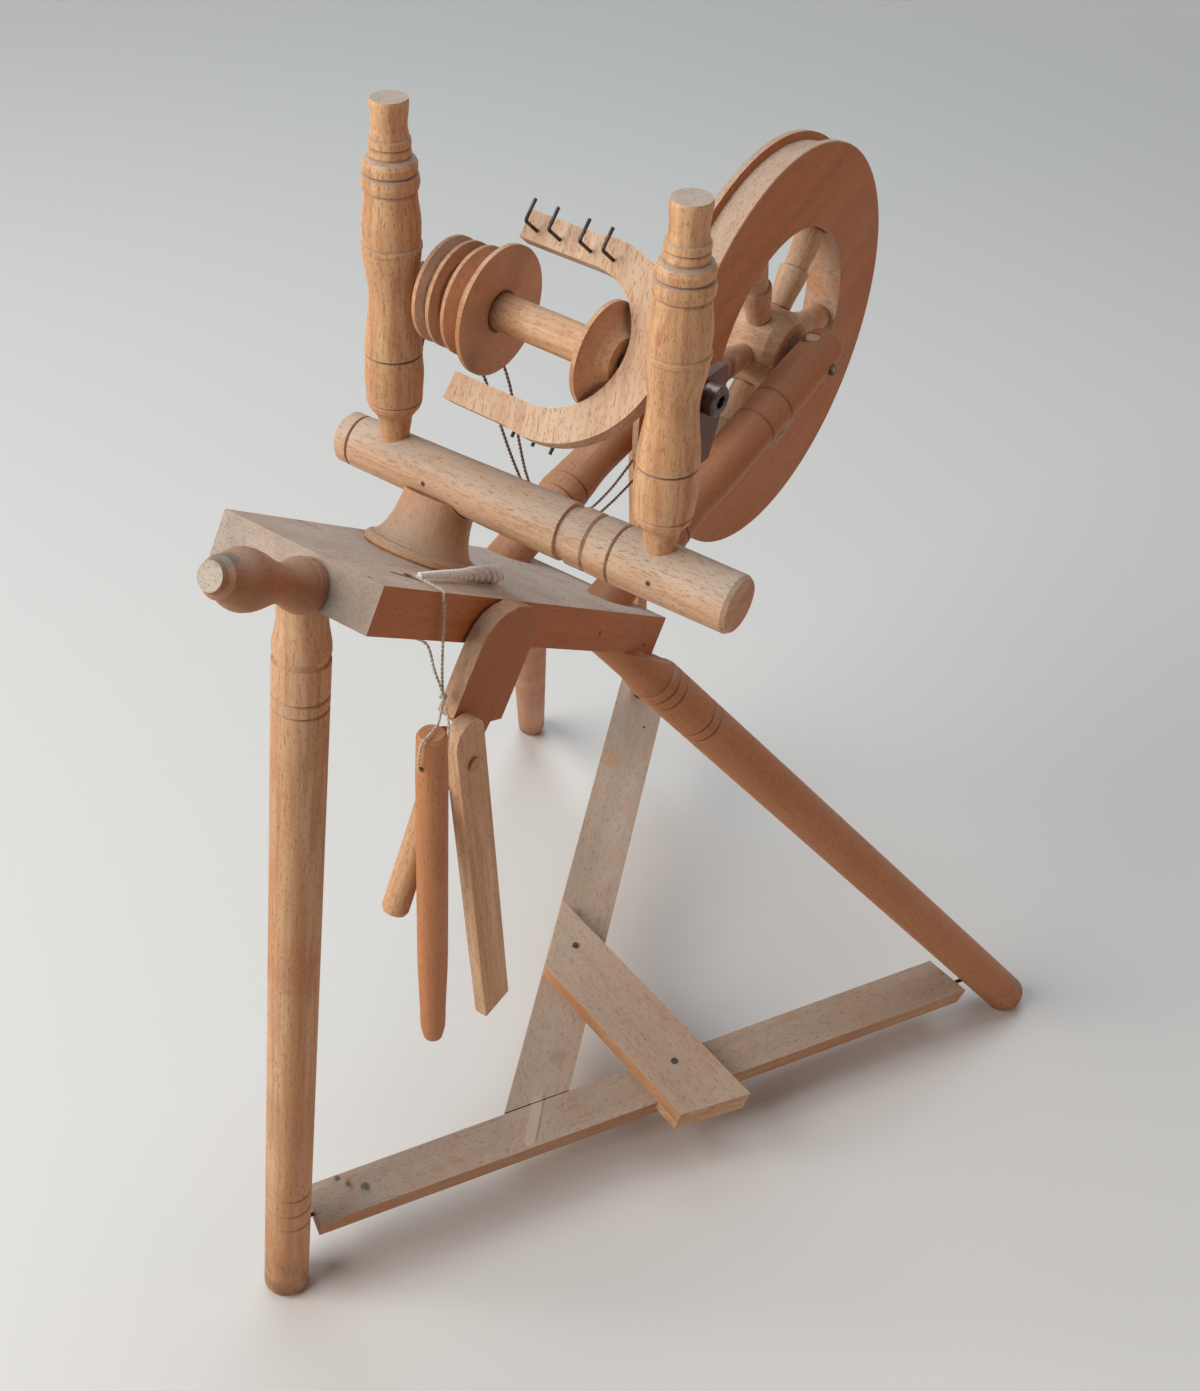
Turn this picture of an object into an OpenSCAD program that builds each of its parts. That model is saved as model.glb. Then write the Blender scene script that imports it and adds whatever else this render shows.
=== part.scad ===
// A small turned-beech spinning wheel with a folding distaff arm.
// Build frame before centring: x runs from the tension knob to the wheel, y away from the
// front, z up from the floor. The wheel's middle plane is y = 0.
// The table frame lies on the sloping table: s down the slope, y across, h above the top face.

/* [Table] */
// Length of the table along its slope
table_l = 170.5; // [166:0.5:176]
// Thickness of the table
table_t = 13.7; // [13:0.1:16]
// Width of the table at the knob end
table_w_knob = 55; // [52:0.5:58]
// Width of the table at the wheel end
table_w_wheel = 60; // [58:0.5:64]
// Slope of the table toward the wheel, in degrees
table_slope = 33.4; // [32.8:0.1:34]
// Height of the table's highest edge above the floor
table_z = 332.2; // [326:0.2:338]
// Radius of the hole that the white string passes through
string_hole_r = 2.2; // [1.6:0.1:3]

/* [Legs] */
// Diameter of the turned legs
leg_d = 16.8; // [15:0.1:18]
// Diameter of a leg's neck under the table
leg_neck_d = 14.4; // [12:0.1:15]
// Diameter of the leg tenons
leg_tenon_d = 8; // [6:0.1:9]
// Length of the leg tenons
leg_tenon_l = 9; // [7:0.5:10]
// Diameter of the back leg, which is thinner than the other two
back_leg_d = 13.6; // [12:0.1:16]
// Depth of the turned grooves
groove_d = 0.7; // [0.3:0.1:1]
// Distance of the right foot from the left one along the wheel
right_foot_x = 304; // [290:1:315]
// Sideways reach of the right foot, toward the front
right_foot_y = 162.3; // [150:0.5:170]
// Distance of the back foot from the left one along the wheel
back_foot_x = 321.7; // [305:0.5:330]
// Sideways reach of the back foot
back_foot_y = 118.7; // [110:0.5:125]

/* [Flyer carrier] */
// Place of the carrier's beam down the table's slope
carrier_s = 63.5; // [62:0.1:66]
// Height of the beam's centre line over the table
carrier_h = 24.3; // [23.5:0.1:26]
// Diameter of the beam
beam_d = 17; // [16:0.1:17.6]
// Reach of the beam toward the front
beam_front = 101.6; // [98:0.2:106]
// Reach of the beam toward the back
beam_back = 33.6; // [30:0.2:38]
// Diameter of the turned collar where it stands on the table
collar_base_d = 34.6; // [32:0.2:38]
// Diameter of the collar under the beam
collar_top_d = 22; // [20:0.2:24]

/* [Maidens] */
// Height of the maidens over the beam's centre line
maiden_h = 105; // [102:0.5:110]
// Diameter of the widest rings of the maidens
maiden_d = 16.8; // [15.6:0.1:17.4]
// Distance of the near maiden from the wheel's middle plane
maiden_front = 76.2; // [76:0.1:79]
// Distance of the far maiden from the wheel's middle plane
maiden_back = 15.3; // [14.5:0.1:17]
// Lean of the near maiden away from the wheel, in degrees
maiden_lean = 1.5; // [1.4:0.1:1.8]

/* [Flyer] */
// Distance of the flyer's axis from the maidens, toward the wheel
flyer_off = 10.5; // [10.3:0.1:11]
// Height of the flyer's axis over the beam's centre line
flyer_h = 52.2; // [50:0.2:54]
// Turn of the flyer about its axis at rest, in degrees
flyer_turn = 49; // [0:1:90]
// Turn of the flyer's axis, its near end away from the wheel, in degrees
flyer_yaw = 1.4; // [1:0.1:1.5]
// Dip of the flyer's axis at its near end, in degrees
flyer_dip = 1.3; // [0:0.1:1.5]
// Half width between the flyer's arms
flyer_inner = 19.5; // [19:0.1:20.5]
// Width of a flyer arm at its tip
flyer_arm_w = 7.8; // [7:0.1:8.6]
// Thickness of the flyer board
flyer_t = 5.5; // [5:0.1:6]
// Diameter of the steel spindle
spindle_d = 4; // [3.6:0.1:4.4]
// Diameter of the spindle's head, which takes the yarn
head_d = 8.3; // [8:0.1:8.5]
// Diameter of the hook wire
hook_wire_d = 1; // [0.8:0.1:1.4]
// Height of a hook above the flyer's face
hook_rise = 7.2; // [6:0.1:8.6]
// Diameter of the flyer's driving whorl
whorl_d = 29.6; // [28:0.2:31]

/* [Bobbin] */
// Diameter of the bobbin's large flange
bobbin_big_d = 36; // [35:0.2:36.6]
// Diameter of the bobbin's near flange
bobbin_near_d = 28.6; // [27:0.2:28.8]
// Diameter of the bobbin's core
bobbin_core_d = 10.3; // [9:0.1:12]
// Thickness of the thin flange rims
rim_lip_t = 1.3; // [1:0.1:1.6]

/* [Wheel] */
// Distance of the wheel's centre from the left foot, along the wheel
wheel_x = 289.2; // [286:0.2:294]
// Height of the wheel's centre above the floor
wheel_z = 276.9; // [275:0.1:280]
// Outside diameter of the wheel
wheel_d = 153; // [148:0.5:156]
// Diameter of the opening inside the wheel's ring
wheel_in_d = 92.8; // [88:0.2:96]
// Width of the wheel's ring
wheel_w = 14.4; // [13:0.1:15]
// Depth of the band's groove in the ring
band_groove_h = 2.2; // [1.6:0.1:3.2]
// Diameter of the hub
hub_d = 30; // [28:0.2:32]
// Length of the hub along the axle
hub_l = 24.4; // [22:0.1:24.8]
// Number of spokes
spoke_n = 6; // [5:1:7]
// Largest diameter of a spoke
spoke_d = 11.5; // [10:0.1:12]

/* [Wheel posts] */
// Diameter of the wheel posts
post_d = 17; // [16:0.1:17.4]
// Distance of each post's centre line from the wheel's middle plane at the axle
post_y = 21.6; // [21.5:0.1:23]
// Length of a post beyond the axle
post_end = 12.5; // [12:0.1:15]
// Diameter of the axle and of the crank bent from it
axle_d = 4; // [3.6:0.1:4.4]

/* [Crank and footman] */
// Throw of the crank
crank_throw = 18.7; // [16:0.1:20]
// Distance of the footman from the wheel's middle plane
footman_y = 43.4; // [43:0.1:46]
// Width of the footman
footman_w = 7; // [6:0.1:8]
// Thickness of the footman
footman_t = 4.6; // [4:0.1:5]

/* [Treadle] */
// Width of the treadle bar at its left end
bar_w = 16.2; // [14:0.2:18]
// Width of the treadle bar at its right end
bar_w_right = 17.9; // [16:0.1:19]
// Thickness of the treadle bar and board
bar_t = 10.5; // [8:0.5:12]
// Width of the treadle board
board_w = 22.5; // [20:0.5:24]
// Length of the treadle board from the rocking axis to the footman's hole
board_reach = 236.2; // [232:0.2:240]
// Rise of the treadle from front to back, in degrees
treadle_rise = 12; // [10:0.1:14]
// Width of the brace that joins bar and board
brace_w = 31; // [28:0.5:33]
// Thickness of the brace
brace_t = 8; // [6:0.5:9]
// Thickness of the batten under the brace, in front of the bar
batten_t = 5; // [3:0.5:6]

/* [Distaff] */
// Thickness of the distaff arm, a board on the table's front edge
arm_t = 5.6; // [5:0.1:6]
// Width of the distaff bar
dist_bar_w = 12.5; // [11:0.1:13]
// Thickness of the distaff bar
dist_bar_t = 4.5; // [4:0.1:5]
// Length of the distaff bar
dist_bar_l = 139; // [130:1:145]
// Lean of the distaff bar from upright at rest, in degrees
dist_bar_lean = 7.6; // [6.6:0.1:8.6]
// Diameter of the stub rod at the arm's lower end
stub_d = 8.3; // [7:0.1:8.8]
// Length of the stub rod that shows
stub_l = 59; // [50:0.5:62]
// Diameter of the loose rod that hangs on the string
rod_d = 9.3; // [8.8:0.1:9.6]
// Length of the loose rod
rod_l = 128; // [120:1:132]

/* [Knob] */
// Length of the tension knob
knob_l = 38.5; // [35:0.5:40]
// Diameter of the knob's bulb
knob_d = 16.4; // [15:0.1:18]
// Diameter of the knob's stem inside the table
knob_stem_d = 4.4; // [4:0.1:5]

/* [Fits] */
// Radial room of a glued joint
glue_gap = 0.05; // [0.04:0.01:0.08]
// Radial room of a running fit
run_gap = 0.06; // [0.05:0.01:0.08]
// Room between faces that pass each other
side_gap = 0.4; // [0.3:0.05:0.5]

/* [Hidden] */
$fn = 96;
fine = 32;
eps = 0.01;

// Table frame
table_x = 25.9;
table_y = -8.8;
table_front_slope = atan2((table_w_wheel - table_w_knob) / 2, table_l);
function on_table(s, y, h) = [
    table_x + s * cos(table_slope) + h * sin(table_slope),
    y,
    table_z - s * sin(table_slope) + h * cos(table_slope)];
function table_front(s) =
    table_y - table_w_knob / 2 - s * (table_w_wheel - table_w_knob) / 2 / table_l;
string_hole_s = 29;
string_hole_y = -24.8;

// Flyer carrier, maidens and flyer
beam_at = on_table(carrier_s, 0, carrier_h);
beam_x = beam_at[0];
beam_z = beam_at[2];
flyer_x = beam_x + flyer_off;
flyer_z = beam_z + flyer_h;
maiden_foot_r = 4.05;
maiden_foot_in = 5;
bearing_t = 2.4;
bearing_h = 26;
bearing_over = 3.2;
bearing_root = 2;
head_t = 4.2;
bearing_near_y = maiden_front + 2;
head_front = bearing_near_y + bearing_t / 2 + side_gap + head_t + 0.2;
flyer_nose = 66.5;
flyer_tip = 11;
flyer_bend_in = 36;
flyer_outer = flyer_inner + flyer_arm_w;
hook_out = 6.2;
hook_root = 2.5;
whorl_back = 4.9;
whorl_front = -1.0;
whorl_boss_end = -4.9;
whorl_groove_r = 11.4;
bobbin_c = -5.4;
bobbin_d = -13.0;
bobbin_near = -48.9;
bobbin_hub_r = 6.2;
bobbin_hub_l = 5;

// Wheel, posts and crank
wheel_r = wheel_d / 2;
groove_floor_r = wheel_r - band_groove_h;
lip_t = 2.5;
ring_far_more = 0.6;
spoke_first = 52;
spoke_socket = 5;
post_foot_near_s = 156;
post_foot_near_y = -22.8;
post_foot_far_s = 151;
post_foot_far_y = 16;
axle_drop = 2;
post_tenon_d = 7;
post_tenon_l = 7;
plug_d = 5;
plug_in = 4.6;
plug_y = 1.4;
axle_r = axle_d / 2;
crank_turn = 186;
footman_sweep = 1.45;
crank_pin_end = footman_y - footman_t / 2 - footman_sweep;
crank_arm_y = post_y + post_d / 2 + side_gap + axle_r + 0.6;
crank_bend_r = 2.6;
crank_at = [wheel_x + crank_throw * cos(crank_turn), footman_y,
    wheel_z + crank_throw * sin(crank_turn)];

// Treadle frame: a along the bar, b across it and rising, w out of the boards
right_foot = [right_foot_x, -right_foot_y, 0];
right_top = on_table(156, -34, -table_t);
back_foot = [back_foot_x, back_foot_y, 0];
back_top = on_table(154, 3.6, -table_t);
left_foot = [0, 0.7, 0];
left_top = on_table(10.4, -6.7, -table_t);
treadle_left = [13, -0.5, 29.4];
treadle_right = right_foot + (right_top - right_foot) * 0.094 + [0.7, 1.2, 0];
treadle_span = norm(treadle_right - treadle_left);
function unit(v) = v / norm(v);
treadle_u = unit(treadle_right - treadle_left);
treadle_yaw = atan2(treadle_u[1], treadle_u[0]);
treadle_dip = -asin(treadle_u[2]);
treadle_pin_r = 0.8;
treadle_pin_in = 9;
bar_front = -6.8;
bar_from = 2.6;
bar_right_gap = 15.8;
bar_right_skew = 7;
board_a = 92.3;
board_turn = 52;
board_hole_r = 3.4;
board_hole_side = 1;
board_end = 9;
brace_foot_a = 165;
brace_head_a = 136.9;
brace_head_b = 75.3;
brace_foot_b = -19.4;
nail_head_d = 2.6;
nail_d = 1.2;

// Footman between the treadle's hole and the crank
footman_peg_r = 1.7;
footman_shoulder = 2.4;

// Distaff
arm_gap = 0.15;
arm_back = -(table_w_knob / 2 - table_y) - (table_w_wheel - table_w_knob) / 2 * 0.5 - arm_gap;
arm_mid = arm_back - arm_t / 2;
arm_front = arm_back - arm_t;
arm_pivot_at = [73, 0, 291];
arm_pivot_r = 2;
arm_pivot_in = 7;
dist_bar_back = arm_front - side_gap;
dist_bar_mid = dist_bar_back - dist_bar_t / 2;
bar_pin_at = [48.3, 0, 262.5];
bar_pin_r = 1.2;
bar_pin_head_r = 2.2;
bar_top_over = 16.5;
stub_top = [50.2, 0, 268.3];
stub_lean = 28;
stub_in = 7;
stub_tenon_r = 1.9;
stub_y = arm_mid + 1.2;
rod_at = [28, -49.6, 289];
rod_hole_down = 10;
rod_hole_r = 0.9;

// Cords
cord_sides = 8;
band_cord_d = 1.1;
string_d = 0.9;
band_turn_r = whorl_groove_r + band_cord_d / 2 + 0.1;
whorl_y = (whorl_back + whorl_front) / 2;
hub_turn_r = hub_d / 2 + band_cord_d / 2 + 0.2;
hub_turn_y = 9.6;

knob_y = -13.8;
knob_h = -9;

knob_tip_r = 3.9;

// Middle of the whole object, from the knob's tip to the ring and between the splayed feet
knob_tip_x = table_x + (knob_h - knob_tip_r) * sin(table_slope) - knob_l * cos(table_slope);
mid_x = (wheel_x + wheel_r + ring_far_more + knob_tip_x) / 2;
mid_y = (back_foot_y + back_leg_d * 0.292 - right_foot_y - leg_d * 0.2627) / 2;

// Places the build frame so that the object stands centred over the origin
module place() {
    translate([-mid_x, -mid_y, 0]) children();
}

// Puts children in the table frame
module table_frame() {
    translate([table_x, 0, table_z]) rotate([0, table_slope, 0]) children();
}

// Puts children on the line from p to q, with z along it
module between(p, q) {
    v = q - p;
    translate(p) rotate([0, acos(v[2] / norm(v)), atan2(v[1], v[0])]) children();
}

// Turns children about the spindle: x out along the arm, y down the spindle, z off the face
module flyer_frame() {
    spindle_frame() rotate([0, -flyer_turn, 0]) children();
}

// Puts children on the spindle's line, y along it from the near end to the far one
module spindle_frame() {
    translate([flyer_x, 0, flyer_z]) rotate([flyer_dip, 0, -flyer_yaw]) children();
}

// Puts children in the treadle frame
module treadle_frame() {
    translate(treadle_left) rotate([0, 0, treadle_yaw]) rotate([treadle_rise, treadle_dip, 0])
        children();
}

// Points of a run of eased steps through the keys [height, radius]
function eased(keys, n = 5) = [
    for (k = [0 : len(keys) - 2]) for (i = [0 : n - 1])
        let (f = (1 - cos(180 * i / n)) / 2)
        [keys[k][1] + (keys[k + 1][1] - keys[k][1]) * f,
         keys[k][0] + (keys[k + 1][0] - keys[k][0]) * i / n],
    [keys[len(keys) - 1][1], keys[len(keys) - 1][0]]];

// Points of straight sides with a V groove at each height of the list
function grooved(radius, at, width = 1.5) = [
    for (g = at) each [[radius, g - width / 2], [radius - groove_d, g], [radius, g + width / 2]]];

// Solid of revolution whose side is the list of [radius, height] points
module turned(points) {
    last = points[len(points) - 1];
    rotate_extrude() polygon(concat([[0, points[0][1]]], points, [[0, last[1]]]));
}

// Tube of n sides swept along the points p
module cord(p, d) {
    n = len(p);
    dirs = [for (i = [0 : n - 1])
        unit(p[min(i + 1, n - 1)] - p[max(i - 1, 0)])];
    side = [for (i = [0 : n - 1]) unit(cross(dirs[i], [0.31, 0.94, 0.12]))];
    rise = [for (i = [0 : n - 1]) cross(dirs[i], side[i])];
    ring = [for (i = [0 : n - 1]) for (k = [0 : cord_sides - 1])
        p[i] + d / 2 * (side[i] * cos(360 * k / cord_sides) + rise[i] * sin(360 * k / cord_sides))];
    skin = [for (i = [0 : n - 2]) for (k = [0 : cord_sides - 1])
        let (a = i * cord_sides + k, b = i * cord_sides + (k + 1) % cord_sides)
        each [[a, b, b + cord_sides], [a, b + cord_sides, a + cord_sides]]];
    first = [[for (k = [cord_sides - 1 : -1 : 0]) k]];
    last = [[for (k = [0 : cord_sides - 1]) (n - 1) * cord_sides + k]];
    polyhedron(points = ring, faces = concat(skin, first, last));
}

// Smooth route through hand-set points, n steps for each pair
function smooth(p, n = 4) = [
    for (i = [0 : len(p) - 2]) for (k = [0 : n - 1])
        let (t = k / n, a = p[max(i - 1, 0)], b = p[i], c = p[i + 1], d = p[min(i + 2, len(p) - 1)])
        0.5 * (2 * b + (c - a) * t + (2 * a - 5 * b + 4 * c - d) * t * t
            + (3 * b - a - 3 * c + d) * t * t * t),
    p[len(p) - 1]];

// The table's outline seen from above, with a small break of its corners
module table_plan() {
    a = table_y - table_w_knob / 2;
    b = table_y + table_w_knob / 2;
    c = table_y + table_w_wheel / 2;
    d = table_y - table_w_wheel / 2;
    polygon([[0, a], [0, b], [table_l, c], [table_l, d]]);
}

// Tenon of a leg or its socket in the table, from the table's underside inward
module leg_tenon(foot, top, reach, r, back = 0) {
    span = norm(top - foot);
    between(foot, top) translate([0, 0, span - back]) cylinder(r = r, h = reach + back);
}

leg_neck_in = (leg_d - leg_neck_d) / 2;
left_groove_feet = [42.9, 51.3, 60.2];
left_groove_tops = [32, 36.4];
splay_groove_tops = [24, 28.5, 46, 50.5];

module table() {
    color("burlywood") place() difference() {
        table_frame() translate([0, 0, -table_t]) linear_extrude(table_t) table_plan();
        leg_tenon(left_foot, left_top, leg_tenon_l + 0.4, leg_tenon_d / 2 + glue_gap, 12);
        leg_tenon(right_foot, right_top, leg_tenon_l + 0.4, leg_tenon_d / 2 + glue_gap, 24);
        leg_tenon(back_foot, back_top, leg_tenon_l + 0.4, leg_tenon_d / 2 + glue_gap, 24);
        table_frame() translate([-1, knob_y, knob_h]) rotate([0, 90, 0])
            cylinder(d = knob_stem_d + 2 * run_gap, h = knob_stem_in + 1.5);
        table_frame() translate([collar_s, collar_y, -collar_stem_l - 0.3])
            cylinder(d = collar_stem_d + 2 * glue_gap, h = collar_stem_l + 1);
        table_frame() translate([string_hole_s, string_hole_y, -table_t - 1])
            cylinder(r = string_hole_r, h = table_t + 2);
        post_tenon(post_foot_near_s, post_foot_near_y, -post_y, post_tenon_l + 0.4, glue_gap);
        post_tenon(post_foot_far_s, post_foot_far_y, post_y, post_tenon_l + 0.4, glue_gap);
        arm_pivot_shaft(arm_pivot_r + glue_gap, 0.3);
    }
}

// A turned leg, domed at its foot, cut level at the floor and fitted under the table
module leg(foot, top, d, foot_grooves, top_grooves, dome) {
    r = d / 2;
    span = norm(top - foot);
    tilt = acos((top[2] - foot[2]) / span);
    low = norm([r * sin(tilt), dome * cos(tilt)]);
    start = (low - 0.5) / cos(tilt);
    profile = concat(
        [for (i = [0 : 6]) [r * sin(15 * i), start - dome * cos(15 * i)]],
        grooved(r, foot_grooves),
        grooved(r, [for (i = [len(top_grooves) - 1 : -1 : 0]) span - top_grooves[i]]),
        [[r, span - 20.5], [r - groove_d, span - 20], [r - groove_d, span - 18.2], [r, span - 17.6]],
        eased([[span - 17, r], [span - 7, r - leg_neck_in], [span + 30, r - leg_neck_in]], 6));

    color("peru") place() {
        difference() {
            between(foot, top) rotate([0, 0, 50]) turned(profile);
            translate([foot[0] - 40, foot[1] - 40, -60]) cube([80, 80, 60]);
            table_frame() translate([-80, -120, -table_t]) cube([360, 240, 120]);
            treadle_frame() treadle_pin_pair(treadle_pin_r + run_gap, 0.3);
        }
    }
}

module leg_left() {
    leg(left_foot, left_top, leg_d, left_groove_feet, left_groove_tops, 3);
    color("peru") place() leg_tenon(left_foot, left_top, leg_tenon_l, leg_tenon_d / 2, 12);
}

module leg_right() {
    leg(right_foot, right_top, leg_d, [], splay_groove_tops, 6);
    color("peru") place() leg_tenon(right_foot, right_top, leg_tenon_l, leg_tenon_d / 2, 24);
}

module leg_back() {
    leg(back_foot, back_top, back_leg_d, [], [24, 46], 4);
    color("peru") place() leg_tenon(back_foot, back_top, leg_tenon_l, leg_tenon_d / 2, 24);
}

// Tension knob, turned, on a stem that runs in the table's end
knob_stem_in = 26;
module tension_knob() {
    b = knob_d / 2;
    profile = concat(
        [[7.6, side_gap], [7.6, 3]],
        eased([[3.6, 7.3], [11.5, 5.2], [knob_l - 12, b], [knob_l - 3, 5.6]], 6),
        [[4.4, knob_l - 1.6], [knob_tip_r, knob_l]]);
    color("peru") place() table_frame() translate([0, knob_y, knob_h])
        rotate([0, -90, 0]) {
            turned(profile);
            translate([0, 0, -knob_stem_in]) cylinder(d = knob_stem_d, h = knob_stem_in + 2);
        }
}

// Turned collar that carries the beam over the table
collar_s = carrier_s + 1;
collar_y = -3.5;
collar_stem_d = 9;
collar_stem_l = 9;
collar_h = carrier_h - beam_d / 2 + 2.2;
module collar() {
    base = collar_base_d / 2;
    crown = collar_top_d / 2;
    profile = concat(
        [[base - 1, 0], [base, 0.8], [base, 2.2], [base - 0.8, 3]],
        [for (i = [1 : 8]) let (f = i / 8)
            [base - 0.8 - (base - 0.8 - crown) * sin(90 * f), 3 + (collar_h - 3) * (1 - cos(90 * f))]]);
    color("burlywood") place() {
        difference() {
            table_frame() translate([collar_s, collar_y, glue_gap]) turned(profile);
            translate([beam_x, -60, beam_z]) rotate([-90, 0, 0])
                cylinder(d = beam_d + 2 * glue_gap, h = 120);
        }
        table_frame() translate([collar_s, collar_y, -collar_stem_l])
            cylinder(d = collar_stem_d, h = collar_stem_l + 2);
    }
}

// Turned beam that holds both maidens
beam_far_d = 15.4;
module carrier_beam() {
    r = beam_d / 2;
    f = beam_far_d / 2;
    span = beam_front + beam_back;
    profile = concat(
        [[r - 0.9, 0], [r - 0.1, 1.2]],
        grooved(r + 0.1, [beam_front - 64.7], 1.2),
        [[r + 0.1, beam_front - 60]],
        grooved(r, [beam_front - 56.5], 1.6),
        [[r, beam_front - 50.2], [r - 1, beam_front - 49.8], [r - 1, beam_front - 47.4],
         [r, beam_front - 47]],
        eased([[beam_front - 40, r], [span - 22, f + 0.2], [span - 6.5, f + 0.1]], 3),
        grooved(f, [span - 5.2], 1),
        [[f, span - 1], [f - 0.8, span]]);
    color("burlywood") place() difference() {
        translate([beam_x, -beam_front, beam_z]) rotate([-90, 0, 0]) turned(profile);
        maiden_seat(maiden_back, 0) maiden_foot_hole();
        maiden_seat(-maiden_front, maiden_lean) maiden_foot_hole();
    }
}

module maiden_foot_hole() {
    translate([0, 0, -maiden_foot_in - 0.2])
        cylinder(r = maiden_foot_r + glue_gap, h = maiden_foot_in + 40);
}

// Puts children at a maiden's foot on the beam's centre line
module maiden_seat(y, lean) {
    translate([beam_x, y, beam_z]) rotate([0, -lean, 0]) children();
}

// Turned maiden, slotted for its leather bearing
module maiden(y, y_bearing, lean) {
    r = maiden_d / 2;
    k = maiden_h / 105;
    profile = concat(
        [[maiden_foot_r, -maiden_foot_in], [maiden_foot_r, 8 * k]],
        eased([[8.4 * k, maiden_foot_r + 0.2], [13.2 * k, 4.9], [19.2 * k, 8]], 4),
        [[7.6, 19.7 * k], [8.05, 20.2 * k]],
        eased([[20.6 * k, 8.1], [28 * k, r + 0.1], [34 * k, r - 0.3]], 4),
        [[r - 0.9, 34.4 * k], [r - 0.1, 34.9 * k]],
        eased([[35.2 * k, r - 0.2], [52 * k, r - 1.8], [65 * k, r - 0.3]], 6),
        [[r, 65.4 * k], [r, 66.3 * k], [r - 0.5, 66.8 * k]],
        eased([[67.2 * k, r - 0.4], [72 * k, r - 0.3], [80.4 * k, r - 1.2]], 4),
        [[r - 1.6, 81.2 * k], [r - 0.8, 81.8 * k], [r - 0.5, 83.4 * k], [r - 0.8, 85.3 * k],
         [r - 1.6, 85.9 * k], [r - 1.1, 86.5 * k], [r - 1, 88.4 * k], [r - 1.7, 89.6 * k],
         [5.6, 90.3 * k], [5.8, 91 * k], [5.6, 92.2 * k], [5.2, 92.7 * k],
         [5.7, 93.2 * k], [5.6, 94.8 * k]],
        eased([[95.2 * k, 5.1], [98 * k, 4.75], [104.2 * k, 5.2]], 3),
        [[4.9, 105 * k]]);
    difference() {
        maiden_seat(y, lean) turned(profile);
        translate([0, y_bearing, 0]) bearing_slot();
    }
}

module bearing_slot() {
    translate([beam_x - bearing_root - glue_gap, -bearing_t / 2 - glue_gap,
        flyer_z + bearing_over - bearing_h - glue_gap])
        cube([40, bearing_t + 2 * glue_gap, bearing_h + 2 * glue_gap]);
}

module maiden_far() {
    color("peru") place() maiden(maiden_back, maiden_back, 0);
}

module maiden_near() {
    color("peru") place() maiden(-maiden_front, -bearing_near_y, maiden_lean);
}

// Leather bearing: a flat tongue set in the maiden, bored for the spindle
module bearing(y, reach) {
    top = bearing_over;
    low = bearing_over - bearing_h;
    root = beam_x - bearing_root;
    edge = flyer_x + reach;
    difference() {
        translate([0, y + bearing_t / 2, flyer_z]) rotate([90, 0, 0]) linear_extrude(bearing_t)
            polygon([[root, low], [edge - 5, low], [edge - 2, low + 9], [edge, top - 5],
                [edge, top - 1.5], [edge - 1.5, top], [root, top]]);
        spindle_frame() translate([0, y + 5, 0]) rotate([90, 0, 0])
            cylinder(d = spindle_d + 2 * run_gap, h = 10);
    }
}

module bearing_far() {
    color("saddlebrown") place() bearing(maiden_back, 5.6);
}

module bearing_near() {
    color("saddlebrown") place() bearing(-bearing_near_y, 9);
}

// U-shaped flyer board, sawn from one plank, on the spindle
module flyer_plan() {
    out_c = flyer_bend_in + 2.5;
    out_r = flyer_nose - out_c;
    difference() {
        union() {
            translate([-flyer_outer, -out_c]) square([2 * flyer_outer, out_c - flyer_tip]);
            intersection() {
                translate([0, -out_c]) circle(r = out_r);
                translate([-out_r, -flyer_nose - 1]) square([2 * out_r, flyer_nose - out_c + 15]);
            }
        }
        translate([-flyer_inner, -flyer_bend_in]) square([2 * flyer_inner, flyer_bend_in]);
        translate([0, -flyer_bend_in]) circle(r = flyer_inner);
    }
}

module flyer() {
    color("burlywood") place() flyer_frame() difference() {
        translate([0, 0, -flyer_t / 2]) linear_extrude(flyer_t) flyer_plan();
        translate([0, -flyer_nose - 5, 0]) rotate([-90, 0, 0])
            cylinder(d = spindle_d + 2 * glue_gap, h = 40);
        hook_places() translate([0, 0, flyer_t / 2 - hook_root - 0.2])
            cylinder(d = hook_wire_d + 2 * glue_gap, h = hook_root + 1, $fn = fine);
    }
}

upper_hooks = [15.3, 22.8, 32.8, 40.1];
lower_hooks = [28.3, 35.3, 41.3];
hook_b = flyer_inner + flyer_arm_w * 0.38;
module hook_places() {
    for (a = upper_hooks) translate([hook_b, -a, 0]) children();
    rotate([0, 180, 0]) for (a = lower_hooks) translate([hook_b, -a, 0]) children();
}

// One hook: a straight root, a round elbow and a tip that points outward
module hook() {
    w = hook_wire_d / 2;
    bend = hook_wire_d;
    base = flyer_t / 2 - hook_root;
    straight = hook_root + hook_rise - bend;
    translate([0, 0, base]) cylinder(r = w, h = straight, $fn = fine);
    translate([bend, 0, base + straight]) rotate([90, 0, 180])
        rotate_extrude(angle = 90, $fn = fine) translate([bend, 0]) circle(r = w, $fn = fine);
    translate([bend, 0, base + straight + bend]) rotate([0, 90, 0])
        cylinder(r = w, h = hook_out - bend, $fn = fine);
}

module flyer_hooks() {
    color("dimgray") place() flyer_frame() hook_places() hook();
}

// Steel spindle with its socketed head
module flyer_spindle() {
    span = head_front + maiden_back + bearing_t / 2 + 1;
    color("gray") place() spindle_frame() translate([0, -head_front, 0])
        rotate([-90, 0, 0]) difference() {
            union() {
                cylinder(d = spindle_d, h = span);
                rotate_extrude() polygon([[0, 0], [head_d / 2 - 0.5, 0], [head_d / 2, 0.5],
                    [head_d / 2, head_t], [0, head_t]]);
            }
            translate([0, 0, -1]) cylinder(r = 1.9, h = 3.6, $fn = 6);
        }
}

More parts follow.
